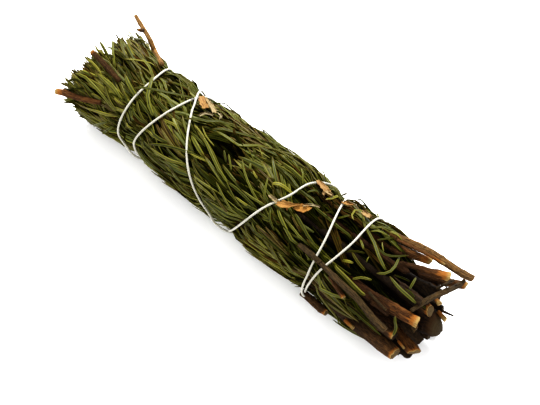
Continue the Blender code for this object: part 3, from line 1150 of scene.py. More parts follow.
# Leaves seen in the photograph, by tone: width in pixels, height in millimetres, x and y from root to tip
SEEN_LEAVES = {
    Tone.BRIGHT: (
        (3.0, 0.6, 135, 35, 130, 31, 126, 28),
        (3.0, 0.7, 114, 66, 113.8, 61, 112.6, 47, 113, 40),
        (4.0, 0.7, 116, 114, 108, 104, 99.8, 93, 91.5, 83, 83, 75.5, 75, 73.4),
        (3.2, 0.6, 123, 104.5, 116.3, 92, 109.7, 83, 99.8, 75.5, 95, 73),
        (5.2, 0.6, 135, 97, 133.7, 93.7, 128.8, 84.6, 124.6, 73.8),
        (4.0, 0.4, 157, 78, 152, 70, 147, 64, 142, 58),
        (3.4, 0.6, 121.5, 103, 117, 92, 112, 85, 106, 79),
        (5.0, 0.9, 152.5, 115, 149.5, 107, 147.5, 96, 150.5, 84, 153, 74.5),
        (3.6, 0.5, 167.4, 90, 164, 81.7, 161, 74),
        (4.4, 0.5, 182, 108, 173.2, 101, 162.4, 95, 156, 90),
        (3.2, 0.6, 187, 112, 184, 104, 179.5, 95.5),
        (3.0, 0.5, 240, 122, 229.6, 113.2, 218.8, 103.2),
        (3.6, 0.7, 240, 145, 233, 141, 226, 136.4, 216.5, 131),
        (3.6, 0.6, 270, 146.3, 256, 144.7, 241.2, 145.7, 233.5, 141.4),
        (5.0, 0.7, 203, 156.5, 196.4, 144.7, 189.8, 133.9),
        (3.6, 0.7, 228, 184, 217, 167, 208, 146, 203, 137),
        (2.4, 0.3, 230.6, 170, 230, 162, 228.5, 154),
        (2.8, 0.7, 259, 206, 251.5, 190, 244.7, 173.2, 242.2, 159),
        (2.6, 0.4, 249.7, 171, 250.2, 166.5, 250.5, 162.5),
        (2.8, 0.5, 262, 204, 265, 190, 268, 176.5),
        (2.8, 0.5, 304.6, 180, 303, 173, 301, 168),
        (3.0, 0.6, 239.7, 221.3, 229.8, 208.8, 221.5, 193, 216, 182),
        (2.6, 0.5, 231, 227, 217.3, 214.6, 209, 204.7, 196.6, 194.7),
        (4.4, 0.6, 297, 251, 290, 238, 281.2, 219, 276.2, 206.3),
        (4.2, 0.6, 307, 262, 299, 253, 292, 241),
        (3.0, 0.5, 310.6, 250.7, 303, 241.6, 295, 231, 287.8, 221.3),
        (3.6, 0.5, 299, 281.4, 289, 267.3, 277.5, 251.6),
        (4.0, 0.7, 385.5, 268.8, 379.7, 258, 374.7, 243.9, 369.8, 229.8, 364.8, 217.4),
        (3.0, 0.5, 389, 234, 381, 231.5, 371.4, 228),
        (3.4, 0.9, 400, 255, 394.5, 267, 387, 273, 376.5, 273.3),
        (3.8, 0.9, 415.5, 302.5, 406, 294, 398.8, 287.5, 389.7, 276.3),
        (3.0, 0.9, 409.5, 288, 413, 283, 416, 277.5),
        (2.6, 0.5, 363.5, 248, 362, 242, 360.6, 236.4),
        (4.6, 0.6, 342, 302, 333, 295.5, 321.4, 289.7, 315.6, 279.8, 314, 274),
        (2.6, 0.6, 335.5, 294, 328, 283, 321.4, 274),
        (4.0, -2.4, 391.5, 336.5, 393.7, 328, 395.4, 316),
    ),
    Tone.GREEN: (
        (3.4, 0.5, 150, 42, 141, 38, 133, 36.5, 124, 33.6),
        (3.0, 0.4, 126, 52, 124, 46, 121, 41, 118, 38),
        (2.6, 0.6, 122, 52, 117, 49.5, 111, 48, 105.6, 46.5),
        (3.0, 0.4, 95, 99, 91.5, 93.7, 86.5, 86.3, 79, 80.5),
        (2.8, 0.4, 152.5, 60, 148.7, 51.5, 143.7, 41.5, 139, 37),
        (3.6, 0.3, 142, 70, 135, 60, 129, 50, 126, 43),
        (3.7, 0.3, 106, 123, 99, 124, 93, 126.5),
        (3.9, 0.3, 111, 128, 106, 131, 102.5, 134),
        (3.8, 0.5, 133, 131, 130.5, 115, 126.3, 105, 123, 91),
        (3.4, 0.4, 146, 127, 138.8, 119.8, 132, 110.7, 130, 106),
        (3.2, 1.0, 195, 96, 180, 94, 165, 91.7, 151, 88.7, 142, 87.5, 133, 88),
        (2.6, 0.3, 163, 87, 158, 83, 153.5, 79.5),
        (3.4, 0.5, 188, 84, 180, 78, 173, 73.5, 166, 69.5),
        (3.4, 0.4, 187, 124, 176, 116, 165, 107.5, 155, 98),
        (3.2, 0.5, 188, 113.5, 181, 113, 174.8, 112.3),
        (3.6, 0.5, 168, 143.5, 158, 138, 150, 131, 143, 125),
        (3.6, 0.7, 208, 161.5, 196, 155.5, 183, 150.5, 171.5, 147.2, 160, 144.5, 147.5, 144.3),
        (3.2, 0.4, 162, 158, 155, 151, 149.6, 147.2, 143, 141),
        (4.0, 0.4, 150, 118, 146, 110, 141, 103, 137, 98),
        (4.0, 1.0, 240, 127, 223, 121, 208.8, 121.3, 198, 119, 187, 118.5),
        (4.0, 0.6, 269.4, 141.4, 256, 137.2, 239.5, 133, 223, 129, 212, 129),
        (3.2, 0.4, 205, 146, 197.2, 138, 189, 129.8),
        (2.6, 0.2, 225.6, 162, 225, 156, 224, 150),
        (3.6, 0.6, 320, 204, 303, 189, 291, 177, 280, 168, 271, 160.5),
        (3.6, 0.5, 308, 163, 296, 153.3, 283.7, 146.6, 267, 140.8),
        (3.2, 0.4, 321.4, 190.6, 314, 190, 307, 190.6),
        (3.8, 0.5, 253, 210, 250.5, 203, 238, 189.8, 228, 182.5),
        (3.6, 0.5, 267, 219.6, 253, 210.5, 243, 203, 235, 196.5),
        (4.2, 0.4, 222, 222, 210.7, 213.8, 200.7, 201.4, 194, 192),
        (3.0, 0.5, 273, 231, 269.6, 218.8, 267.9, 206.3),
        (3.6, 0.6, 315.6, 249, 306, 233, 300.2, 221.3, 293.6, 212),
        (3.0, 0.4, 302.3, 260.7, 297, 256, 292.4, 251.6),
        (3.2, 0.5, 262, 240, 255, 231, 248, 222),
        (3.6, 0.5, 338.8, 213, 344, 214.5, 350, 215.5),
        (2.8, 0.6, 372, 238, 368, 227, 362.9, 214.7),
        (4.6, 0.6, 403, 237, 393, 230, 380, 225.7, 370.6, 223.2),
        (2.8, 0.3, 395, 236, 386, 238.5, 377, 240),
        (3.2, 0.7, 378, 247, 386, 254.5, 396, 256.3, 409, 255.3),
        (2.4, 0.8, 425, 300, 416, 295.5, 405, 288.5),
        (2.8, -5.4, 410, 280, 402, 277.5, 394, 274.8),
        (3.8, -0.6, 379, 336.5, 361.4, 319, 352, 310, 345.6, 305.5),
        (2.4, -1.9, 375, 330, 366, 322, 356.4, 314.8),
    ),
    Tone.OLIVE: (
        (3.4, 0.3, 128, 62, 124, 52, 121, 44, 122, 37),
        (3.0, 0.6, 120.5, 80.5, 114.7, 69.7, 108, 61, 102, 57.5, 97, 56),
        (3.4, 0.5, 132, 93, 123, 84.6, 113, 76, 103, 72, 96, 71.5),
        (3.4, 0.4, 127, 104, 125.5, 98, 121.3, 87, 117, 80),
        (3.0, 0.4, 150, 76.5, 141.2, 69.7, 134.6, 63, 130, 57),
        (3.2, 0.3, 146, 58, 141, 51, 137, 44, 132, 38),
        (3.0, 0.4, 98, 121, 84.9, 114.8, 76.6, 109, 72, 105.5),
        (3.0, 0.5, 117.5, 114, 113, 107, 108, 97, 104.8, 86),
        (3.6, 0.4, 133, 132, 124.7, 126.4, 119.7, 116, 117, 110),
        (3.4, 0.4, 196, 92, 187, 83, 180, 77, 173, 71),
        (3.4, 0.4, 186, 127, 178, 121.5, 165, 111.5, 150.8, 93.3),
        (3.2, 0.3, 160, 168, 151, 158.8, 143, 148, 138, 141),
        (3.4, 0.4, 147, 128, 141, 118, 138, 108, 134.5, 99),
        (3.0, 0.4, 233, 121, 223, 112.3, 214.6, 107.4),
        (3.0, 0.5, 264, 136, 248, 131.5, 235.4, 125, 225, 122),
        (3.6, 0.7, 223, 177, 211.3, 150.5, 203, 138, 193, 123),
        (4.2, 0.6, 320, 175, 311.5, 167.4, 301.5, 159.1, 290.7, 154.1, 280, 150.8),
        (3.4, 0.5, 310, 168.5, 296, 160.7, 279.5, 150.8, 263, 146.6),
        (3.2, 0.5, 207, 188, 196.6, 173.2, 189, 159),
        (3.2, 0.5, 226, 216, 219, 203, 212, 190, 205, 180),
        (3.0, 0.4, 206, 189, 200, 178, 192, 168),
        (4.0, 0.5, 290, 280, 281, 265.7, 270, 245),
        (3.2, 0.4, 283, 270, 276, 258, 268, 246, 262, 238),
        (3.0, 0.4, 255, 243, 248, 235, 240, 227),
        (3.2, 0.6, 345, 195, 336, 188, 328, 180.7),
        (3.8, 0.6, 393, 232, 382, 227, 371.2, 222),
        (3.2, 0.6, 364.5, 270, 357.3, 261.3, 351.5, 251.4),
        (3.8, 0.6, 334.7, 319, 328, 308, 319.8, 296.4, 311.5, 283.9),
    ),
    Tone.DARK: (
        (3.4, 0.5, 122, 62, 115, 57.5, 110, 55.5, 103, 53),
        (3.0, 0.3, 101, 77, 96.4, 71.4, 91.5, 67, 84.8, 63.5),
        (3.4, 0.3, 86, 86, 79, 82, 75, 79, 67.4, 81.3),
        (4.0, 0.5, 82, 89, 76, 88.5, 70, 90, 66, 93),
        (2.2, 0.2, 76, 103, 73.3, 102, 64.5, 102),
        (4.4, 0.4, 115.5, 108.7, 108, 94.6, 104.7, 83, 103, 76),
        (3.6, 0.2, 136, 72, 130, 64, 124, 56, 117, 51),
        (2.4, 0.2, 86, 112, 80, 112.5, 76, 113.5),
        (2.6, 0.7, 188, 111, 188, 104.5, 188, 98),
        (4.0, 0.5, 248, 126, 235.4, 113.2, 227, 105, 217, 98),
        (3.2, 0.5, 268, 139, 265, 133, 261.5, 127),
        (3.0, 0.3, 262, 153, 253, 153, 243.6, 153.8),
        (4.2, 0.6, 312, 199, 296, 185.6, 283.7, 173.2, 271.2, 161.6, 254.6, 155),
        (2.8, 0.3, 297, 171, 289.5, 166.5, 279.5, 164.9),
        (3.0, 0.5, 319.3, 171.6, 316, 168, 311, 164.5),
        (3.4, 0.4, 227.3, 191.4, 217.3, 181.5, 209, 173.2),
        (2.6, 0.5, 289, 259.5, 288.6, 251, 288.2, 243),
        (2.8, 0.3, 336.3, 208, 331, 210, 325.6, 212.2),
        (2.4, 0.6, 393, 229, 389.5, 224, 387, 220),
        (2.6, 0.4, 365, 252.2, 352, 250, 340, 249.7),
        (3.0, 0.4, 352, 300.6, 347, 301.8, 343, 301.3),
    ),
    Tone.PALE: (
        (2.6, 0.5, 102, 79, 99, 71, 93, 63, 86.5, 59.8),
        (2.2, 0.8, 98.5, 101, 96.4, 97.9, 93, 95, 89.8, 93.7),
        (2.4, 0.6, 164, 65, 149.5, 62.2, 137, 59.8, 124.6, 58.9),
        (2.4, 0.5, 123, 106, 118, 102, 114, 98),
        (2.6, 0.6, 130.5, 129, 127.5, 126, 126, 123),
        (2.2, 0.9, 208, 161.6, 199, 158, 190, 153.5),
        (2.0, 0.9, 206, 140, 199, 130, 194, 124.5),
        (1.8, 0.5, 213.8, 145, 206.3, 136.4, 202.2, 126.4),
        (2.6, 0.4, 257, 178, 254.5, 174, 253, 170.5),
        (4.6, 0.8, 294, 190, 284, 185.6, 277, 183.5, 272, 183.5),
        (2.4, 0.8, 249, 207.5, 242, 202, 235.6, 197.2),
        (3.8, 0.7, 345, 194, 338, 194, 333, 195.6, 325.6, 199.8),
        (2.4, 0.9, 365.4, 219, 362.9, 211.4, 358.7, 208.9, 353, 211.4, 352, 216.3, 354, 220),
        (4.6, 0.8, 404, 238.5, 397, 234, 390, 231.5),
        (3.4, -1.1, 340, 259.7, 347, 261, 353.5, 263),
        (1.6, 0.7, 383.9, 250, 382.5, 246, 382.2, 242),
        (1.6, -3.3, 366, 262, 367.5, 259, 369, 256.5),
        (1.4, 0.6, 326, 291, 323, 286, 320, 281),
    ),
    Tone.YELLOW: (
        (4.2, 0.6, 115, 118, 106, 114.5, 97, 111.5, 84, 107.4),
        (3.2, 0.7, 159, 116.5, 167.4, 121.5, 174.8, 124.8, 176.8, 129.5),
        (3.4, 0.5, 162, 142.5, 151, 135, 142, 129.8, 135, 125),
        (4.2, 0.6, 184, 167, 170, 160.4, 158, 153.8, 150, 147.5),
        (4.0, 0.6, 216, 205, 213, 198, 200.7, 186.4, 188.3, 179),
        (4.4, 0.8, 331, 264, 344.8, 278, 357.9, 292.2, 364.5, 295.5),
        (3.0, -1.2, 371, 279.6, 361, 277.5, 351.4, 279.5),
    ),
    Tone.BROWN: (
        (3.6, 0.4, 112, 112, 104, 107, 94, 104, 86, 103),
        (3.4, 0.4, 227, 214, 222, 206, 217, 198),
        (2.6, 0.5, 301, 233, 296, 224, 292, 217),
    ),
}

# Twigs seen in the photograph, by CAD node: bark, then x, y and width in pixels and height in
# millimetres of points from inside to cut end, and how far the twig is sunk where it is
SEEN_TWIGS = {
    "side_twig_1": (
        (
            Bark.GREY,
            (
                321, 264, 5, -0.8, 341, 283, 6, 0.3, 357, 298, 6, 0.4, 366, 309, 6.4, 0.4,
                373, 318, 6.6, 0.5, 385, 330, 7.0, 0.7,
            ),
        ),
        (Bark.BROWN, (302, 292, 7, -1.6, 316.5, 304.7, 8, -0.6, 326.4, 313, 7, -1.0)),
        (Bark.GREY, (299, 245, 5, -1.0, 311.5, 255, 6, -0.4, 320, 263, 5, -0.8)),
        (Bark.GREY, (368.7, 292, 2.5, 0.2, 378, 302, 2.6, 0.3, 386, 309.6, 2.4, 0.2), 3.0),
    ),
    "side_twig_2": (
        (Bark.FRAYED, (329.7, 276.5, 4.6, -0.4, 335, 285, 5.0, 0.1, 343.5, 298, 5.0, 0.5)),
        (Bark.ORANGE, (344.8, 319.8, 3.6, -0.6, 349, 324, 4.2, -0.3, 353.4, 328.4, 4.2, -0.2), 2.4),
    ),
    "side_twig_3": (
        (
            Bark.RED,
            (
                101, 102.5, 5, -0.6, 89, 100, 5.2, 0.2, 77, 97, 6.0, 0.4, 66, 93, 7.0, 0.8,
                57, 91.5, 7.4, 1.0,
            ),
        ),
    ),
    "side_twig_4": (
        (
            Bark.BROWN,
            (
                120, 81, 4.6, -0.5, 112, 72, 5.5, 0.2, 104, 63, 5.5, 0.3, 97, 56, 5.4, 0.5,
                92, 51.5, 5.0, 0.7,
            ),
        ),
    ),
    "side_twig_5": (
        (
            Bark.STRAW,
            (
                162, 64.7, 5.4, -0.4, 155, 51, 5.4, 0.5, 149, 38, 5.0, 3.2, 142, 27, 4.6, 4.2,
                135, 15.5, 4.0, 5.6,
            ),
        ),
        (Bark.BROWN, (144.6, 30.5, 3.4, 3.9, 140.5, 30, 3.8, 4.0, 137.4, 29.5, 2.6, 4.1)),
    ),
    "side_twig_6": (
        (
            Bark.GREY,
            (
                411, 311, 4.0, -4.0, 429, 299.5, 5.4, -6.0, 445, 292, 5.6, -5.6, 459, 285, 5.0, -4.2,
                465, 279.6, 3.8, -3.0,
            ),
        ),
        (Bark.GREY, (437.3, 288.5, 2.6, -5.0, 445, 284.4, 2.8, -5.0, 453.5, 280, 2.6, -4.4)),
        (Bark.DARK, (444.5, 284.6, 1.6, -5.0, 448, 290.2, 1.4, -5.2)),
        (Bark.SHAVED, (435, 298, 4.0, -10, 439.8, 304.5, 5.4, -10), 4.6),
        (Bark.SHAVED, (438, 311, 4.0, -15, 442, 315.5, 5.0, -15.4, 445.6, 319.6, 5.6, -15.8), 2.5),
        (Bark.BLACK, (442, 310.6, 2.6, -13, 447, 313, 2.4, -14, 453.6, 316, 1.4, -15), 2.5),
    ),
}

# Visible ends of stems by CAD node, and bits seen beside a stem, in the same way
SEEN_STEMS = {
    "stem_08": (
        372, 224, 5.6, -2.8, 385, 231.4, 6.6, -1.4, 404, 240.4, 7.4, -0.4, 427, 251.4, 8.0, 0.2,
        440, 259.2, 8.0, 0.5, 450, 265.4, 7.6, 0.6, 461, 272.2, 7.6, 0.7, 472.6, 278.2, 7.4, 0.8,
    ),
    "stem_09": (
        378, 238.6, 6.0, -3.8, 396, 246, 7.6, -3.2, 411, 252.8, 8.4, -2.9, 431, 261.4, 8.2, -2.8,
    ),
    "stem_10": (
        384, 257, 4.6, -4.0, 400, 262.8, 5.0, -2.9, 416, 267, 5.4, -2.0, 430, 271.6, 6.4, -1.4,
        438, 274.2, 9.0, -1.1, 448.4, 277.2, 9.2, -1.0,
    ),
}

SEEN_BESIDE = {
    "stem_08": (
        (
            Bark.ORANGE,
            (397, 239.8, 2.6, 0.8, 412, 246.8, 3.0, 1.4, 430, 255.6, 3.0, 1.5, 445, 264.4, 2.2, 1.2),
            1.8,
        ),
        (
            Bark.DARK,
            (402, 236, 2.2, 0.8, 415, 242.2, 2.6, 1.2, 432, 250.8, 2.6, 1.4, 446, 259.2, 2.0, 1.2), 0.7,
        ),
    ),
    "stem_04": (
        (Bark.DARK, (402, 322, 8, -10, 411, 333, 9, -10.5, 420.6, 342, 8.6, -11)),
        (Bark.SHAVED, (398, 341, 2.4, -3.5, 401, 344.6, 2.8, -4.0, 404.4, 348.6, 2.8, -4.4), 6.8),
    ),
}

# Places where the bundle is slimmer than round: pixel, near and far reach and depth in millimetres
SLIM_PLACES = ((368, 209, 2.5, 7.5, 1.6), (250, 122, 2.5, 7.0, 1.0), (78, 116, 2.0, 8.0, 1.2))

# Torn bark by CAD node: how pale, its long edges in pixels, and the height of either end in millimetres
SEEN_BARK = {
    "bark_flake_1": (
        (0.38, (198.4, 97, 199.6, 103, 202.6, 108), (205.6, 96.6, 208, 101, 210, 106), (0.3, 0.5)),
        (0.80, (205, 97.4, 208.6, 104.5, 213, 112.6), (208.6, 98.6, 213, 104, 218.2, 112), (0.4, 0.9)),
        (1.60, (197.6, 115, 204, 112, 213, 113.4), (198.4, 117, 206, 114, 214, 116), (0.2, 0.6)),
        (
            1.80, (218.4, 113.8, 219.6, 115, 219.4, 117.6), (221, 113.4, 222.4, 115.6, 221.8, 118),
            (0.7, 0.8),
        ),
    ),
    "bark_flake_2": (
        (0.85, (268, 196, 272, 199.6, 276, 203.6), (272, 195, 275.6, 198, 279.6, 201), (-0.4, -0.2)),
        (
            0.25, (275, 204.8, 284, 208, 292, 206.6, 300, 204.6),
            (280.6, 199.8, 286, 200.6, 293, 203, 301, 203.2), (0.3, 1.0),
        ),
        (
            0.10, (284, 206.6, 286, 208.8, 286.8, 210.6), (286.6, 206, 287.6, 208, 287.6, 210.4),
            (0.5, 1.0),
        ),
        (
            0.10, (294, 209, 300, 212, 306, 211.6, 310.6, 209),
            (293, 206.4, 299, 204, 305, 204.4, 310, 205.6), (0.3, 0.9),
        ),
        (1.10, (303, 206.4, 310, 205.4, 319.6, 207.4), (303, 203.8, 311, 203.4, 320, 205.6), (0.9, 0.7)),
    ),
    "bark_flake_3": (
        (0.45, (316, 181, 320.4, 186.4, 324.6, 191.6), (321, 180.4, 327, 186, 331.4, 191.6), (0.3, 0.6)),
        (
            0.70, (324.6, 191, 327.6, 193.4, 332, 195.4), (330, 190.6, 331.6, 192.6, 333.6, 194.4),
            (0.6, 0.5),
        ),
        (
            0.60, (322, 191.6, 322.4, 193.4, 324, 195.6), (326, 190.4, 325.4, 192.6, 325.2, 195),
            (0.6, 0.4),
        ),
        (0.30, (343, 203, 347, 204.6, 352, 204.8), (344.6, 200.6, 348.6, 201.6, 353, 203.6), (0.0, 0.2)),
        (
            0.55, (361, 212.6, 366, 216.4, 369.6, 217.6), (363.6, 209.6, 368.6, 212.6, 373, 217),
            (0.2, 0.4),
        ),
    ),
}


@dataclass(frozen=True)
class Tracer:
    """Lays on the bundle the leaves, twigs and bark that the photograph shows.

    A leaf's width seen in pixels includes its blurred edges, so only a share of it is the leaf.
    Leaves over the bare stems are painted darker than the rest, as painted shade, and those at
    the tips painted brighter, as painted light.
    """

    view: PhotoView
    leaf_share: float = 0.86
    bare_stems_from: float = 51 * MM
    tips_from: float = -58 * MM
    painted_shade_and_light: tuple = (0.66, 1.3)
    root_dip: float = 1.0 * MM
    pressed_share: float = 1.3
    over_string_from: float = 0.85 * MM
    route_steps: int = 40
    twig_seed: int = 40
    twig_seed_step: int = 7
    twig_margin: float = 0.6 * MM
    twig_slope: float = 1.8 * MM
    least_press: float = 0.3 * MM
    track_steps: int = 24
    bark_slope: tuple = (0.3 * MM, 1.6 * MM)
    bark_press: float = 0.9 * MM
    bark_steps: int = 9

    def leaves(self, grooves: Grooves, shape: LeafShape) -> SweptLeaves:
        """Lay the leaves seen in the photograph where it shows them.

        Each lies its own height above the bundle's surface and is pressed down with it, save
        the few that are high enough to lie over the string. The root dips under its neighbours.

        Args:
            grooves: What presses the leaves in.
            shape: The leaves' shape, which says how many rows a line has.

        Returns:
            The leaves' lines with the rest.
        """
        seen = [(tone.value, *row) for tone, leaves in SEEN_LEAVES.items() for row in leaves]
        routes = [np.reshape(route, (-1, 2)) for _, _, _, *route in seen]
        rows = len(shape.rows)
        share = np.array(shape.rows)
        fine = np.linspace(0, 1, self.route_steps)
        curves = [smooth_line(route, self.route_steps) for route in routes]
        pixels = [[np.interp(share, fine, values) for values in curve.T] for curve in curves]
        height = np.repeat([lift * MM for _, _, lift, *_ in seen], rows)
        flat = self.view.onto(np.transpose(pixels, (0, 2, 1)).reshape(-1, 2), height)
        angle = self.view.bundle.angle_of(flat)
        out = self.view.bundle.outward(angle)
        dip, _ = grooves.press(flat[:, 0], angle)
        pressed = self.pressed_share * dip * (height < self.over_string_from)
        sunk = pressed + self.root_dip * np.tile((1 - share) ** 4, len(routes))
        line = (flat - sunk[:, None] * out).reshape(-1, rows, 3)
        tone = np.array([tone for tone, *_ in seen])
        station = line[:, rows // 2, 0]
        special = (station > self.bare_stems_from, station < self.tips_from)
        # Painted shade over the bare stems and painted light at the tips.
        tone[:, 0] *= np.select(special, self.painted_shade_and_light, 1.0)
        width = self.leaf_share * np.array([wide for _, wide, *_ in seen]) * self.view.pixel
        return SweptLeaves(line, out.reshape(-1, rows, 3), width, tone)

    def twig_line(self, places: tuple, sunk: float = 0.0) -> tuple[np.ndarray, np.ndarray]:
        """Points and radii of a twig seen in the photograph.

        Args:
            places: Its row of SEEN_TWIGS.
            sunk: How much further from the camera it lies, in millimetres.

        Returns:
            Points along it from its inner end to its cut, and its radius at each.
        """
        rows = np.reshape(places, (-1, 4))
        points = self.view.onto(rows[:, :2], rows[:, 3] * MM)
        behind = sunk * MM * unit(points - self.view.eye())
        return points + behind, rows[:, 2] * self.view.pixel / 2

    def twigs(self, rows: tuple) -> list[MeshArrays]:
        """Meshes of twigs seen in the photograph.

        Args:
            rows: Bark and places of each, and how far it is sunk, if it is.

        Returns:
            A mesh for each.
        """
        meshes = []
        for index, (bark, places, *sunk) in enumerate(rows):
            points, radii = self.twig_line(places, *sunk)
            seed = self.twig_seed + self.twig_seed_step * index + len(points)
            meshes.append(WoodShape().sweep(points, radii, bark, seed))
        return meshes

    def twig_track(self, places: tuple, *sunk: float) -> Track:
        """The line along which a twig presses the leaves in.

        Args:
            places: The twig's row of SEEN_TWIGS.
            sunk: How far it is sunk in millimetres, if it is.

        Returns:
            The track, deeper under a thick twig and one that lies low.
        """
        points, radii = self.twig_line(places, *sunk)
        line = smooth_line(points, self.track_steps)
        near = radii.max() + self.twig_margin
        above = min(self.twig_margin, np.mean(places[3::4]) * MM)
        depth = max(0.0, radii.mean() - above) + self.least_press
        return Track(line[:, 0], self.view.bundle.angle_of(line), near, near + self.twig_slope, depth)

    def bark_track(self, left: tuple, right: tuple, height: float) -> Track:
        """The line along which a strip of bark presses the leaves in.

        Args:
            left: One long edge of the strip in pixels.
            right: The other.
            height: Its height above the leaves in millimetres.

        Returns:
            The track along the strip's middle.
        """
        left, right = (np.reshape(edge, (-1, 2)) for edge in (left, right))
        steps = self.bark_steps
        middle = (smooth_line(left, steps) + smooth_line(right, steps)) / 2
        line = self.view.onto(middle, np.full(steps, height * MM))
        wide = np.linalg.norm(right[1] - left[1]) * self.view.pixel / 2
        near, far = (wide + beyond for beyond in self.bark_slope)
        return Track(line[:, 0], self.view.bundle.angle_of(line), near, far, self.bark_press)

    def tracks(self, string: CottonString) -> tuple[Track, ...]:
        """Lines that press the leaves in: the string's, each twig's and each strip of bark's.

        Args:
            string: The string.

        Returns:
            The tracks.
        """
        tracks = [string.track()]
        for x, y, near, far, depth in SLIM_PLACES:
            place = self.view.onto(np.array(((x, y),), float), np.zeros(1))
            angle = self.view.bundle.angle_of(place)
            tracks.append(Track(place[:, 0], angle, near * MM, far * MM, depth * MM))
        for twigs in SEEN_TWIGS.values():
            tracks += [self.twig_track(*places) for _, *places in twigs]
        for strips in SEEN_BARK.values():
            tracks += [self.bark_track(left, right, heights[0]) for _, left, right, heights in strips]
        return tuple(tracks)


@dataclass(frozen=True)
class TornBark:
    """Thin torn strips of bark, rolled a little across and ragged at their ends.

    Each of the waves is its height in millimetres, and how fast it goes along and across.
    """

    view: PhotoView
    rows: int = 28
    columns: int = 9
    thickness: float = 0.28 * MM
    curl: float = 0.55 * MM
    waves: tuple = ((0.10, 9, 5), (0.07, 4, 21))
    tears: int = 6
    raggedness: float = 1.1
    sway: float = 0.12
    sway_speed: float = 17.0

    def pixels(self, left: tuple, right: tuple, rng: np.random.Generator) -> np.ndarray:
        """Pixel place of every point of a strip, which sways and is torn at its ends.

        Args:
            left: One long edge in pixels.
            right: The other.
            rng: The strip's own random numbers.

        Returns:
            The places, (rows, columns, 2).
        """
        along = np.linspace(0, 1, self.rows)[:, None]
        across = np.linspace(0, 1, self.columns)
        edges = [smooth_line(np.reshape(edge, (-1, 2)), self.rows) for edge in (left, right)]
        pixels = edges[0][:, None] * (1 - across[:, None]) + edges[1][:, None] * across[:, None]
        tears = rng.normal(0, self.raggedness, self.tears)
        torn = (2 * along - 1) ** 7 * np.interp(across, np.linspace(0, 1, self.tears), tears)
        pixels = pixels + torn[..., None] * unit(np.gradient(pixels, axis=0))
        sideways = (edges[1] - edges[0])[:, None] * (across - 0.5)[:, None] * self.sway
        return pixels + sideways * np.sin(along * self.sway_speed + rng.uniform(*PHASES))[..., None]

    def sheet(self, pale: float, left: tuple, right: tuple, heights: tuple, seed: int) -> MeshArrays:
        """One strip between two edges, from its start to its end.

        Its height above the bundle's surface goes evenly from one end's to the other's, plus
        the curl times the square of the way from its middle line, plus small waves.

        Args:
            pale: How pale it is, 0 orange and 1 straw.
            left: One long edge in pixels.
            right: The other.
            heights: Height of its two ends in millimetres.
            seed: Changes its waves and torn ends.

        Returns:
            The strip's mesh.
        """
        rng = np.random.default_rng(seed)
        rows, columns, bundle = self.rows, self.columns, self.view.bundle
        along = np.linspace(0, 1, rows)[:, None]
        across = np.linspace(0, 1, columns)
        pixels = self.pixels(left, right, rng)
        wave = sum(
            high * np.sin(far * along + wide * across + late)
            for (high, far, wide), late in zip(self.waves, rng.uniform(*PHASES, 3))
        )
        height = heights[0] + (heights[1] - heights[0]) * along + wave
        height = height * MM + self.curl * (2 * across - 1) ** 2
        top = self.view.onto(pixels.reshape(-1, 2), height.ravel())
        under = top - self.thickness * bundle.outward(bundle.angle_of(top))
        top, under = top.reshape(rows, columns, 3), under.reshape(rows, columns, 3)
        ring = np.concatenate((top, under[:, ::-1]), axis=1)

        sides = 2 * columns
        strip = np.arange(columns - 1)
        cap = np.stack((strip, strip + 1, sides - 2 - strip, sides - 1 - strip), axis=-1)
        quads = np.vstack((ring_quads(rows, sides), cap[:, ::-1], cap + (rows - 1) * sides))
        middle = rows // 2
        onward = top[middle + 1, 0] - top[middle, 0]
        sideways = top[middle, -1] - top[middle, 0]
        if np.linalg.det(np.stack((onward, sideways, top[0, 0] - under[0, 0]))) > 0:
            quads = quads[:, ::-1]

        length = run_along(top.mean(axis=1))[-1]
        both = np.concatenate((across, across[::-1]))
        outside = np.repeat((0.0, 1.0), columns)
        place = np.stack(np.broadcast_arrays(along * length / MM, both, outside), axis=-1).reshape(-1, 3)
        tone = np.broadcast_to((pale, rng.uniform(0, 1), rng.uniform(0, 1)), place.shape)
        attributes = {"bark_place": place, "bark_tone": tone}
        return MeshArrays(ring.reshape(-1, 3), quads, NO_TRIANGLES, attributes)

    def build(self, node: str, material: bpy.types.Material) -> bpy.types.Object:
        """Make a piece of all the strips that stand for one CAD flake.

        Args:
            node: The flake's name.
            material: Its finish.

        Returns:
            The piece.
        """
        strips = [
            self.sheet(*strip, seed=30 * index + len(node))
            for index, strip in enumerate(SEEN_BARK[node])
        ]
        return MeshArrays.joined(strips).build(f"torn_{node}", material)


# Finishes


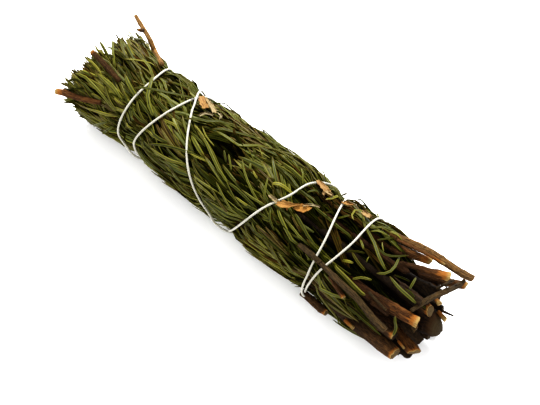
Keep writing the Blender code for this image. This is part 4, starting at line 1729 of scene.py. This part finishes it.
class Tree:
    """Short ways to add nodes to a material or a node group."""

    def __init__(self, tree: bpy.types.NodeTree, fibres: bpy.types.NodeTree | None = None) -> None:
        """Keep the tree that nodes are added to, and the group that gives streaks."""
        self.tree, self.fibres = tree, fibres

    @property
    def shader(self) -> bpy.types.Node:
        """The material's shader."""
        return self.tree.nodes["Principled BSDF"]

    def fill(self, node: bpy.types.Node, values: dict) -> None:
        """Set a node's inputs.

        Args:
            node: The node.
            values: Its inputs by name or number: an output socket to link, a colour of three
                parts, or a value.
        """
        for title, value in values.items():
            if isinstance(value, bpy.types.NodeSocket):
                self.tree.links.new(value, node.inputs[title])
            else:
                node.inputs[title].default_value = (*value, 1.0) if isinstance(value, tuple) else value

    def node(self, kind: str, values: dict, **settings: object) -> bpy.types.Node:
        """Add a node.

        Args:
            kind: The node's type.
            values: Its inputs, as fill takes them.
            settings: Its properties.

        Returns:
            The node.
        """
        made = self.tree.nodes.new(kind)
        for title, value in settings.items():
            setattr(made, title, value)
        self.fill(made, values)
        return made

    def math(self, operation: str, *values: object) -> bpy.types.NodeSocket:
        """Output of a Math node on numbers or sockets."""
        return self.node("ShaderNodeMath", dict(enumerate(values)), operation=operation).outputs[0]

    def times(self, first: object, second: object) -> bpy.types.NodeSocket:
        """Product of two numbers or sockets."""
        return self.math("MULTIPLY", first, second)

    def mix(self, share: object, first: object, second: object, blend: str = "MIX") -> bpy.types.NodeSocket:
        """Output of a colour mix: first where share is 0, second where it is 1."""
        values = {0: share, 6: first, 7: second}
        return self.node("ShaderNodeMix", values, data_type="RGBA", blend_type=blend).outputs[2]

    def steps(self, value: object, low: float, high: float, start: float = 0.0, end: float = 1.0) -> object:
        """Output that goes smoothly from start to end while value goes from low to high."""
        given = {0: value, 1: low, 2: high, 3: start, 4: end}
        return self.node("ShaderNodeMapRange", given, interpolation_type="SMOOTHSTEP").outputs[0]

    def vector(self, title: str) -> tuple:
        """The three parts of a mesh attribute."""
        source = self.node("ShaderNodeAttribute", {}, attribute_name=title)
        return tuple(self.node("ShaderNodeSeparateXYZ", {0: source.outputs["Vector"]}).outputs)

    def streaks(
        self, along: object, around: object, seed: object, length: float, fineness: float
    ) -> bpy.types.NodeSocket:
        """Mask of streaks on a surface.

        Args:
            along: Way along the surface.
            around: Way round it, from 0 to 1.
            seed: What tells this leaf's or stem's streaks from the others'.
            length: How long the streaks are.
            fineness: How many there are.

        Returns:
            The mask.
        """
        values = {"Along": along, "Around": around, "Seed": seed, "Length": length}
        values["Fineness"] = fineness
        return self.node("ShaderNodeGroup", values, node_tree=self.fibres).outputs[0]


def fibre_group() -> bpy.types.NodeTree:
    """Node group that gives long streaks: noise stretched along a surface's own direction.

    Returns:
        The group. Its inputs are Along, Around and Seed, with the streaks' Length and
        Fineness, and its output is a mask from 0 to 1.
    """
    tree = bpy.data.node_groups.new("fibre_streaks", "ShaderNodeTree")
    inputs = {"Along": 0.0, "Around": 0.0, "Seed": 0.0, "Length": 1.0, "Fineness": 8.0}
    for title, value in inputs.items():
        socket = tree.interface.new_socket(title, in_out="INPUT", socket_type="NodeSocketFloat")
        socket.default_value = value
    tree.interface.new_socket("Streaks", in_out="OUTPUT", socket_type="NodeSocketFloat")
    add = Tree(tree)
    given = add.node("NodeGroupInput", {}).outputs
    along = add.math("DIVIDE", given["Along"], given["Length"])
    turn = add.times(given["Around"], math.tau)
    across = add.times(add.math("COSINE", turn), given["Fineness"])
    beside = add.times(add.math("SINE", turn), given["Fineness"])
    where = add.node("ShaderNodeCombineXYZ", {0: along, 1: across, 2: beside}).outputs[0]
    values = {"Vector": where, "W": given["Seed"], "Scale": 1.0, "Detail": 4.0, "Roughness": 0.65}
    noise = add.node("ShaderNodeTexNoise", values, noise_dimensions="4D")
    streaks = add.steps(noise.outputs[0], 0.3, 0.7)
    add.node("NodeGroupOutput", {0: streaks})
    return tree


@dataclass(frozen=True)
class Finish:
    """A finish: its name, the constants of its shader, and how strong and high its relief is.

    Colours are linear. A ramp is the two values that it goes between and its shares there,
    which are 0 and 1 where it names none.
    """

    name: str
    roughness: float
    sheen: float = 0.0
    specular: float = 0.5
    relief: float = 0.5
    relief_height: float = 0.1 * MM

    def paint(self, add: Tree) -> tuple:
        """Colour and height of the surface, which each finish makes in its own way."""
        raise NotImplementedError

    def build(self, fibres: bpy.types.NodeTree) -> bpy.types.Material:
        """Make the material.

        Args:
            fibres: The group of streaks.

        Returns:
            The material.
        """
        material = bpy.data.materials.new(self.name)
        material.use_nodes = True
        add = Tree(material.node_tree, fibres)
        add.fill(add.shader, {"Roughness": self.roughness, "Sheen Weight": self.sheen})
        add.fill(add.shader, {"Specular IOR Level": self.specular})
        colour, height = self.paint(add)
        relief = {"Height": height, "Strength": self.relief, "Distance": self.relief_height}
        bump = add.node("ShaderNodeBump", relief)
        add.fill(add.shader, {"Base Color": colour, "Normal": bump.outputs[0]})
        return material


@dataclass(frozen=True)
class LeafFinish(Finish):
    """Dry rosemary leaf: waxy green above, paler below, with a groove darkened as painted shade, a painted
    yellow highlight along the upper side's edges, and browned tips.
    """

    relief: float = 0.25
    relief_height: float = 0.2 * MM
    # The darkest leaf colour: the dark end of brightness, which carries both the leaves' own tone and
    # painted shade, and the painted shade in the groove.
    deep: tuple = (0.004, 0.0045, 0.0008)
    green: tuple = (0.062, 0.079, 0.0080)
    yellow: tuple = (0.180, 0.165, 0.0200)
    brown: tuple = (0.070, 0.038, 0.0120)
    below: tuple = (0.150, 0.150, 0.0600)
    streak: tuple = (0.4, 0.4, 0.4)
    below_ramp: tuple = (0.15, 0.45, 0.75, 0.25)
    ragged_ramp: tuple = (0.0, 0.8, 0.5, 1.0)
    groove_shade_ramp: tuple = (0.05, 0.4, 0.7, 0.0)
    rim_ramp: tuple = (0.45, 0.75, 0.0, 0.50)
    tip_ramp: tuple = (0.86, 1.0)
    shine_ramp: tuple = (0.1, 0.8)
    grain: tuple = (0.22, 3.0)
    grain_across: float = 0.25
    seed_spread: float = 60.0
    gloss_spread: tuple = (-0.08, 0.14)
    yellow_share: float = 0.8
    streak_share: float = 0.45
    tip_share: float = 0.45

    def paint(self, add: Tree) -> tuple:
        """Colour the leaf from its place and tone attributes, and vary its gloss.

        Args:
            add: Adds nodes to the material.

        Returns:
            The colour and the height.
        """
        along, across, upper = add.vector("leaf_place")
        bright, yellow, brown = add.vector("leaf_tone")
        colour = add.mix(bright, self.deep, self.green)
        colour.node.clamp_factor = False
        colour = add.mix(add.times(add.times(yellow, bright), self.yellow_share), colour, self.yellow)
        edge = add.math("ABSOLUTE", across)
        below = add.times(add.math("SUBTRACT", 1.0, upper), add.steps(edge, *self.below_ramp))
        colour = add.mix(add.times(below, bright), colour, self.below)
        seed = add.times(add.math("ADD", bright, yellow), self.seed_spread)
        streaks = add.streaks(along, add.times(across, self.grain_across), seed, *self.grain)
        ragged = add.steps(streaks, *self.ragged_ramp)
        colour = add.mix(add.times(brown, ragged), colour, self.brown)
        # Painted shade: the groove on the upper side is darkened.
        colour = add.mix(add.times(add.steps(edge, *self.groove_shade_ramp), upper), colour, self.deep)
        lit = add.times(bright, upper)
        # Painted highlight: the upper side's edges are lit yellow, the more the brighter the leaf.
        colour = add.mix(add.times(add.steps(edge, *self.rim_ramp), lit), colour, self.yellow)
        colour = add.mix(add.times(streaks, self.streak_share), colour, self.streak, "MULTIPLY")
        colour = add.mix(add.times(add.steps(along, *self.tip_ramp), self.tip_share), colour, self.brown)
        limits = (self.roughness + more for more in self.gloss_spread)
        gloss = add.steps(streaks, 0.0, 1.0, *limits)
        # Leaves painted darker as shade also get less shine.
        shine = add.steps(bright, *self.shine_ramp, 0.0, self.specular)
        add.fill(add.shader, {"Roughness": gloss, "Specular IOR Level": shine})
        return colour, streaks


@dataclass(frozen=True)
class WoodFinish(Finish):
    """Rosemary wood: fibrous grey to red-brown bark, orange where it peels, with a pale yellow cut."""

    relief: float = 0.8
    relief_height: float = 0.4 * MM
    grey: tuple = (0.060, 0.045, 0.022)
    red: tuple = (0.110, 0.042, 0.013)
    tan: tuple = (0.240, 0.145, 0.055)
    crack: tuple = (0.010, 0.006, 0.003)
    orange: tuple = (0.270, 0.108, 0.022)
    straw: tuple = (0.340, 0.245, 0.095)
    cut: tuple = (0.430, 0.320, 0.150)
    broad_grain: tuple = (6.0, 2.2)
    fine_grain: tuple = (1.6, 9.0)
    broad_relief: float = 0.6
    seed_spread: float = 40.0
    darkest: float = 0.12
    shade_gain: float = 1.25
    crack_ramp: tuple = (0.1, 0.6, 0.8, 0.0)
    crest_ramp: tuple = (0.6, 1.0, 0.0, 0.3)
    patch_ramp: tuple = (0.55, 0.95, 0.0, 0.7)
    peel_ramp: tuple = (0.0, 1.0, 0.6, 1.3)
    peel_edge_ramp: tuple = (-0.5, 0.5)
    any_peel_ramp: tuple = (0.0, 0.4)
    bare_ramp: tuple = (0.0, 0.5)
    bare_crack_ramp: tuple = (0.05, 0.45, 0.6, 0.0)
    rings: float = 42.0
    ring_ramp: tuple = (-1.0, 1.0, 0.0, 0.3)
    rim_ramp: tuple = (0.7, 0.95, 0.0, 0.8)
    pith_ramp: tuple = (0.0, 0.14, 0.7, 0.0)
    cut_ramp: tuple = (0.93, 0.99, 1.0, 0.0)

    def paint(self, add: Tree) -> tuple:
        """Colour the stem from its place, tone and end attributes: bark, peeled end and cut.

        Args:
            add: Adds nodes to the material.

        Returns:
            The colour and the height.
        """
        from_cut, around, radial = add.vector("wood_place")
        redness, bright, pale = add.vector("wood_tone")
        peel, light, chance = add.vector("wood_end")
        seed = add.times(chance, self.seed_spread)
        broad = add.streaks(from_cut, around, seed, *self.broad_grain)
        fine = add.streaks(from_cut, around, seed, *self.fine_grain)

        bark = add.mix(redness, self.grey, self.red)
        bark = add.mix(add.times(pale, broad), bark, self.tan)
        bark = add.mix(add.steps(fine, *self.crack_ramp), bark, self.crack)
        bark = add.mix(add.steps(fine, *self.crest_ramp), bark, self.tan)
        patch = add.times(add.times(redness, bright), add.steps(broad, *self.patch_ramp))
        bark = add.mix(patch, bark, self.orange)
        shade = add.math("ADD", self.darkest, add.times(bright, self.shade_gain))
        tint = add.node("ShaderNodeCombineColor", {0: shade, 1: shade, 2: shade}).outputs[0]
        bark = add.mix(1.0, bark, tint, "MULTIPLY")

        reach = add.times(peel, add.steps(broad, *self.peel_ramp))
        peeled = add.steps(add.math("SUBTRACT", reach, from_cut), *self.peel_edge_ramp)
        peeled = add.times(peeled, add.steps(peel, *self.any_peel_ramp))
        way = add.math("DIVIDE", from_cut, add.math("ADD", peel, 0.01))
        bare = add.mix(add.steps(way, *self.bare_ramp), self.straw, self.orange)
        bare = add.mix(add.steps(fine, *self.bare_crack_ramp), bare, self.red)
        colour = add.mix(peeled, bark, bare)

        rings = add.math("SINE", add.times(radial, self.rings))
        cut = add.mix(add.steps(rings, *self.ring_ramp), self.cut, self.orange)
        cut = add.mix(add.steps(radial, *self.rim_ramp), cut, self.orange)
        cut = add.mix(add.steps(radial, *self.pith_ramp), cut, self.crack)
        # A cut of low lightness is darkened towards near black: partly the cut's own colour, partly painted
        # shade.
        cut = add.mix(add.math("SUBTRACT", 1.0, light), cut, self.crack)
        colour = add.mix(add.steps(radial, *self.cut_ramp), colour, cut)
        return colour, add.math("ADD", fine, add.times(broad, self.broad_relief))


@dataclass(frozen=True)
class BarkFinish(Finish):
    """Torn bark: orange inside, brown outside, straw where it is pale, with long splits."""

    relief: float = 0.7
    relief_height: float = 0.3 * MM
    orange: tuple = (0.200, 0.082, 0.012)
    light: tuple = (0.270, 0.145, 0.034)
    straw: tuple = (0.270, 0.235, 0.140)
    brown: tuple = (0.090, 0.036, 0.012)
    pale_ramp: tuple = (0.0, 1.2)
    split_ramp: tuple = (0.0, 0.35, 0.85, 0.0)
    outside_share: float = 0.8
    grain: tuple = (3.0, 4.0)
    grain_across: float = 0.3
    seed_spread: float = 40.0

    def paint(self, add: Tree) -> tuple:
        """Colour the bark: streaks along it, straw by its tone, brown on its outside.

        Args:
            add: Adds nodes to the material.

        Returns:
            The colour and the height.
        """
        along, across, outside = add.vector("bark_place")
        pale, chance, _ = add.vector("bark_tone")
        seed = add.times(chance, self.seed_spread)
        streaks = add.streaks(along, add.times(across, self.grain_across), seed, *self.grain)
        colour = add.mix(streaks, self.orange, self.light)
        colour = add.mix(add.steps(pale, *self.pale_ramp), colour, self.straw)
        colour = add.mix(add.steps(streaks, *self.split_ramp), colour, self.brown)
        return add.mix(add.times(outside, self.outside_share), colour, self.brown), streaks


@dataclass(frozen=True)
class StringFinish(Finish):
    """White cotton: soft, with the valleys between its plies darkened as painted shade, and fine fibres
    along them.
    """

    light: tuple = (0.43, 0.415, 0.355)
    dark: tuple = (0.20, 0.185, 0.14)
    valley_shade_ramp: tuple = (0.0, 0.45, 0.75, 0.0)
    fibre_share: float = 0.25
    grain: tuple = (1.2, 7.0)

    def paint(self, add: Tree) -> tuple:
        """Colour the string from its ply attribute.

        Args:
            add: Adds nodes to the material.

        Returns:
            The colour and the height.
        """
        along, around, crown = add.vector("ply")
        twisted = add.math("SUBTRACT", around, add.math("DIVIDE", along, CottonString.pitch / MM))
        streaks = add.streaks(along, twisted, 0.0, *self.grain)
        # Painted shade: the valleys between the plies are darkened; the dark fibre streaks are the cotton's
        # own.
        colour = add.mix(add.steps(crown, *self.valley_shade_ramp), self.light, self.dark)
        return add.mix(add.times(streaks, self.fibre_share), colour, self.dark), streaks


# Studio


@dataclass(frozen=True)
class Studio:
    """Plain pale floor and soft light. A lamp is its name, its place, its size and its power."""

    floor_half_width: float = 3.0
    floor_colour: tuple = (0.93, 0.93, 0.93)
    floor_roughness: float = 0.9
    world_light: float = 0.8
    lamps: tuple = (
        ("key_light", (-0.35, 0.55, 0.9), 0.3, 22.0),
        ("fill_light", (0.7, -0.5, 0.8), 0.9, 5.0),
        ("front_light", (-0.4, -0.8, 0.45), 0.9, 3.0),
    )

    def build_floor(self) -> bpy.types.Object:
        """Make the floor, a flat sheet just under the part.

        Returns:
            The floor.
        """
        material = bpy.data.materials.new("floor")
        material.use_nodes = True
        add = Tree(material.node_tree)
        look = {"Base Color": self.floor_colour, "Roughness": self.floor_roughness}
        add.fill(add.shader, look)
        half = self.floor_half_width
        corners = np.array(((-half, -half, 0), (half, -half, 0), (half, half, 0), (-half, half, 0)))
        sheet = MeshArrays(corners, np.array(((0, 1, 2, 3),)), NO_TRIANGLES, {})
        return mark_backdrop(sheet.build("floor", material))

    def add_lamp(self, name: str, place: tuple, size: float, power: float) -> None:
        """Add a square soft lamp that looks at the bundle.

        Args:
            name: Its name.
            place: Where it is.
            size: Length of its side.
            power: Its power in watts.
        """
        data = bpy.data.lights.new(name, "AREA")
        data.size = size
        data.energy = power
        light = bpy.data.objects.new(name, data)
        light.matrix_world = placed(facing(unit(np.array(place))), place)
        bpy.context.scene.collection.objects.link(light)

    def build_light(self) -> None:
        """Set the world's even light, the lamps and the picture's contrast."""
        world = bpy.data.worlds.new("studio")
        world.use_nodes = True
        background = world.node_tree.nodes["Background"]
        Tree(world.node_tree).fill(background, {"Color": (1.0, 1.0, 1.0), "Strength": self.world_light})
        bpy.context.scene.world = world
        for lamp in self.lamps:
            self.add_lamp(*lamp)
        view = bpy.context.scene.view_settings
        view.view_transform = "Standard"
        view.look = "High Contrast"


# Sprigs


@dataclass(frozen=True)
class Sprig:
    """One sprig, as the source has it: its wedge of leaves, and where its stem comes out."""

    number: int
    angle: float
    tip: float
    leaf_end: float
    stem_radius: float
    end_station: float
    end_angle: float
    end_distance: float
    inner: float
    outer: float
    seed: int = 11
    seed_step: int = 97
    habit: LeafHabit = LeafHabit()
    flow: Flow = Flow()
    waist: float = -57.0
    under_surface: float = 2.05 * MM
    tip_radius: float = 0.8 * MM
    wedge_share: float = 0.8
    wedge_wall: float = 0.65 * MM
    straight_out: tuple = (1.5 * MM, 0.0, 0.0)
    swell_share: float = 0.7
    swell_way: float = 7.0 * MM

    @property
    def is_outer(self) -> bool:
        """Whether the sprig lies at the bundle's surface."""
        return self.outer == 1.0

    @property
    def half_width(self) -> float:
        """Half its wedge in degrees: a twelfth of the round outside, a sixth inside, or all."""
        return 15.0 if self.is_outer else (30.0 if self.inner > 0 else 180.0)

    def twiglets(self, layer: Layer, count: int, rng: np.random.Generator) -> Leaves:
        """Leaves of the sprig's twiglets in one layer.

        Each twiglet is a short shoot with its own heading. Its leaves start along it and fan
        out to both sides.

        Args:
            layer: How deep they lie.
            count: How many twiglets there are.
            rng: The sprig's own random numbers.

        Returns:
            The leaves.
        """
        habit = self.habit
        many = (count, habit.leaves)
        first, last = self.tip + habit.from_tip, self.leaf_end + habit.past_leaf_end
        spread = np.linspace(0, 1, count) + rng.normal(0, 0.5 / count, count)
        station = first + (last - first) * np.clip(spread, 0, 1)
        angle = self.angle + rng.uniform(-self.half_width, self.half_width, count)
        heading = self.flow.heading(station, angle) + rng.normal(0, habit.heading_spread, count)
        twig_tone = rng.normal(0, 1, (count, 3))

        along = rng.uniform(0, habit.shoot, many)
        along = along * np.where(rng.random((count, 1)) < habit.long_shoots, 1.0, habit.short_shoot)
        side = np.where(rng.random(many) < 0.5, -1.0, 1.0)
        fan = side * np.abs(rng.normal(*habit.fan, many))
        turn = np.radians(heading)[:, None]
        root = station[:, None] - along * np.cos(turn) * habit.crowding
        clear, more = habit.root_from_tip
        root = np.maximum(root, self.tip + clear + rng.uniform(0, more, many))
        sideways = along * np.sin(turn) * habit.crowding / (self.outer * habit.typical_radius)
        root_angle = angle[:, None] + np.degrees(sideways) + rng.normal(0, habit.angle_spread, many)
        length = rng.normal(*habit.length, many)
        length = np.minimum(length, root - self.tip - rng.uniform(*habit.stop_from_tip, many))
        shine = rng.normal(0, 1, (*many, 3))
        tones = [
            np.clip(mean + twig * twig_tone[:, None, part] + own * shine[..., part], *limits)
            for part, (mean, twig, own, *limits) in enumerate(habit.tones)
        ]
        # Painted shade: leaves of deeper layers are darkened.
        tones[0] *= layer.brightness
        depth = layer.depth + np.abs(rng.normal(*habit.depth, many)) * MM
        total = count * habit.leaves
        return Leaves(
            station=(root * MM).ravel(),
            angle=root_angle.ravel(),
            heading=(heading[:, None] + fan).ravel(),
            length=np.maximum(length, habit.least_length).ravel() * MM,
            width=rng.normal(*habit.width, total).clip(*habit.width_limits) * MM,
            depth=depth.ravel(),
            rise=rng.gamma(*habit.rise, total) * MM,
            bend=rng.normal(0, habit.bend, total) - habit.unfan * fan.ravel(),
            roll=rng.normal(0, habit.roll, total) + 180.0 * (rng.random(total) < habit.upside_down),
            tone=np.stack(tones, axis=-1).reshape(-1, 3),
            share=np.full(total, self.outer),
        )

    def build_leaves(self, maker: LeafMaker, seen: SweptLeaves) -> bpy.types.Object:
        """Make all the leaves of the sprig as one piece.

        Args:
            maker: Lays and sweeps them.
            seen: Leaves traced from the photograph, of which an outer sprig takes those in its
                own sector.

        Returns:
            The piece.
        """
        rng = np.random.default_rng(self.seed + self.seed_step * self.number)
        plan = self.habit.outer_layers if self.is_outer else self.habit.inner_layers
        swept = SweptLeaves.joined([maker.sweep(self.twiglets(*layer, rng)) for layer in plan])
        if self.is_outer:
            shading = Shading(maker.bundle)
            swept = shading.applied(swept.chosen(~shading.covered(swept.line)))
            away = np.abs(wrapped(maker.bundle.angle_of(seen.middle) - self.angle))
            swept = SweptLeaves.joined([swept, seen.chosen(away <= self.half_width)])
        piece = maker.build(f"sprig_{self.number:02d}_leaves", swept)
        return add_to_part(piece, Slot.LEAF, f"leaves_{self.number:02d}")

    def stem_line(self, bundle: Bundle) -> tuple[np.ndarray, np.ndarray]:
        """Points and radii of the sprig's stem, the same that the source's stem has.

        Args:
            bundle: The bundle's form.

        Returns:
            Points along the stem from its tip to its cut end, and its radius at each.
        """
        stations = np.array((self.tip + 1.0, self.waist, self.leaf_end)) * MM
        radius = bundle.radius(stations)
        inside = self.inner * radius
        outside = self.outer * radius
        if self.is_outer:
            outside = bundle.free_surface(stations, np.full(3, self.angle)) - self.under_surface
        distance = np.zeros(3) if self.inner == 0 else (inside + outside) / 2
        half = outside[2] if self.inner == 0 else (outside[2] - inside[2]) / 2
        full = self.stem_radius * MM
        thick = min(full, self.wedge_share * half - self.wedge_wall)
        radii = np.interp(stations, stations[[0, 2]], (self.tip_radius, thick))
        points = bundle.point(stations, self.angle, distance)
        end = bundle.point(self.end_station * MM, self.end_angle, self.end_distance * MM)
        clear = points[-1] + self.straight_out
        way = end - clear
        swell = clear + way * min(self.swell_share, self.swell_way / np.linalg.norm(way))
        return np.vstack((points, clear, swell, end)), np.append(radii, (thick, full, full))

    def build_stem(self, tracer: Tracer, material: bpy.types.Material) -> bpy.types.Object:
        """Make the sprig's stem, with the bits seen beside it, as one piece.

        Args:
            tracer: Knows where the photograph shows the stem.
            material: The wood's finish.

        Returns:
            The piece.
        """
        bark = STEM_BARK.get(self.number, Bark.DARK)
        name = f"stem_{self.number:02d}"
        points, radii = self.stem_line(tracer.view.bundle)
        if name in SEEN_STEMS:
            seen_points, seen_radii = tracer.twig_line(SEEN_STEMS[name])
            points, radii = np.vstack((points[:2], seen_points)), np.append(radii[:2], seen_radii)
        # Other stems are painted darker away from their cut, as painted shade.
        shape = STEM_SHAPES.get(bark, WoodShape(fade=0.6))
        sweeps = [shape.sweep(points, radii, bark, self.number)]
        sweeps += tracer.twigs(SEEN_BESIDE.get(name, ()))
        piece = MeshArrays.joined(sweeps).build(f"sprig_{name}", material)
        return add_to_part(piece, Slot.WOOD, name)


# Sprigs by ring: angle, tip, leaves' end, stem radius, and the cut end's station, angle and distance
CENTRE = ((0, -81, 69, 4.7, 81.8, 300, 1.2),)
INNER = (
    (30, -79, 66, 2.2, 77, 20, 9.6),
    (90, -80, 64, 2.0, 80, 98, 10.5),
    (150, -79, 68, 1.8, 79, 152, 8.6),
    (210, -81, 67, 2.4, 82, 197, 11.5),
    (270, -78, 70, 1.6, 80.6, 266, 8.2),
    (330, -80, 68, 1.4, 79.5, 352, 7.3),
)
OUTER = (
    (15, -79, 62, 1.4, 82.7, 28, 21.0),
    (45, -81, 60, 1.6, 68, 37, 17.2),
    (75, -77, 61, 1.8, 78, 60, 19.2),
    (105, -80.5, 66, 1.3, 77, 103, 16.2),
    (135, -80, 61, 2.0, 80, 124, 15.0),
    (165, -84, 66, 1.5, 75, 160, 15.6),
    (195, -80, 40, 2.6, 78, 186, 17.2),
    (225, -80, 67, 2.0, 80.5, 222, 13.4),
    (255, -78, 64, 1.6, 77, 252, 14.0),
    (285, -74, 66, 1.4, 80, 290, 14.5),
    (315, -77, 65, 1.9, 76, 316, 16.0),
    (345, -80, 63, 1.5, 80.4, 5, 19.0),
)

# The bark of each sprig's stem, dark where this says nothing. The middle stem's BLACK is painted shade, as
# its end lies in shade.
STEM_BARK = {
    1: Bark.BLACK,
    3: Bark.BROWN,
    4: Bark.GREY,
    5: Bark.RUST,
    8: Bark.TAN,
    9: Bark.ORANGE,
    10: Bark.RED,
    12: Bark.RED,
    13: Bark.BROWN,
    14: Bark.BROWN,
    19: Bark.FRAYED,
}


# Stems of these barks have a form of their own: smooth and round, or without the painted shade towards
# their inner end
STEM_SHAPES = {
    Bark.BLACK: WoodShape(ridge=0.02, joint=0.0, dome=1.0),
    Bark.TAN: WoodShape(),
}


def all_sprigs() -> list[Sprig]:
    """The sprigs in the source's order: the middle one, six round it, twelve outside.

    Returns:
        The nineteen sprigs.
    """
    rings = ((CENTRE, 0.0, 0.22), (INNER, 0.22, 0.56), (OUTER, 0.56, 1.0))
    rows = [(row, inner, outer) for ring, inner, outer in rings for row in ring]
    return [
        Sprig(number, *map(float, row), inner=inner, outer=outer)
        for number, (row, inner, outer) in enumerate(rows, start=1)
    ]


def main() -> None:
    """Build the dressed part and the studio round it."""
    logging.basicConfig(level=logging.INFO, format="%(message)s")
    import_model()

    bundle = Bundle()
    view = PhotoView(bundle)
    view.build()
    tracer = Tracer(view)
    studio = Studio()
    studio.build_floor()
    studio.build_light()

    fibres = fibre_group()
    leaf = LeafFinish("rosemary_leaf", 0.42, specular=0.20).build(fibres)
    wood = WoodFinish("rosemary_wood", 0.75, specular=0.12).build(fibres)
    cotton = StringFinish("white_cotton", 0.9, sheen=0.3).build(fibres)
    torn = BarkFinish("torn_bark", 0.7, specular=0.2).build(fibres)

    string = CottonString(bundle)
    add_to_part(string.build(cotton), Slot.STRING, "string")
    grooves = Grooves(bundle, tracer.tracks(string))
    maker = LeafMaker(bundle, grooves, LeafShape(), leaf)
    seen = tracer.leaves(grooves, maker.shape)
    for sprig in all_sprigs():
        sprig.build_leaves(maker, seen)
        sprig.build_stem(tracer, wood)
    for node, twigs in SEEN_TWIGS.items():
        piece = MeshArrays.joined(tracer.twigs(twigs)).build(f"bare_{node}", wood)
        add_to_part(piece, Slot.WOOD, node)
    for node in SEEN_BARK:
        add_to_part(TornBark(view).build(node, torn), Slot.BARK, node)


if __name__ == "__main__":
    main()
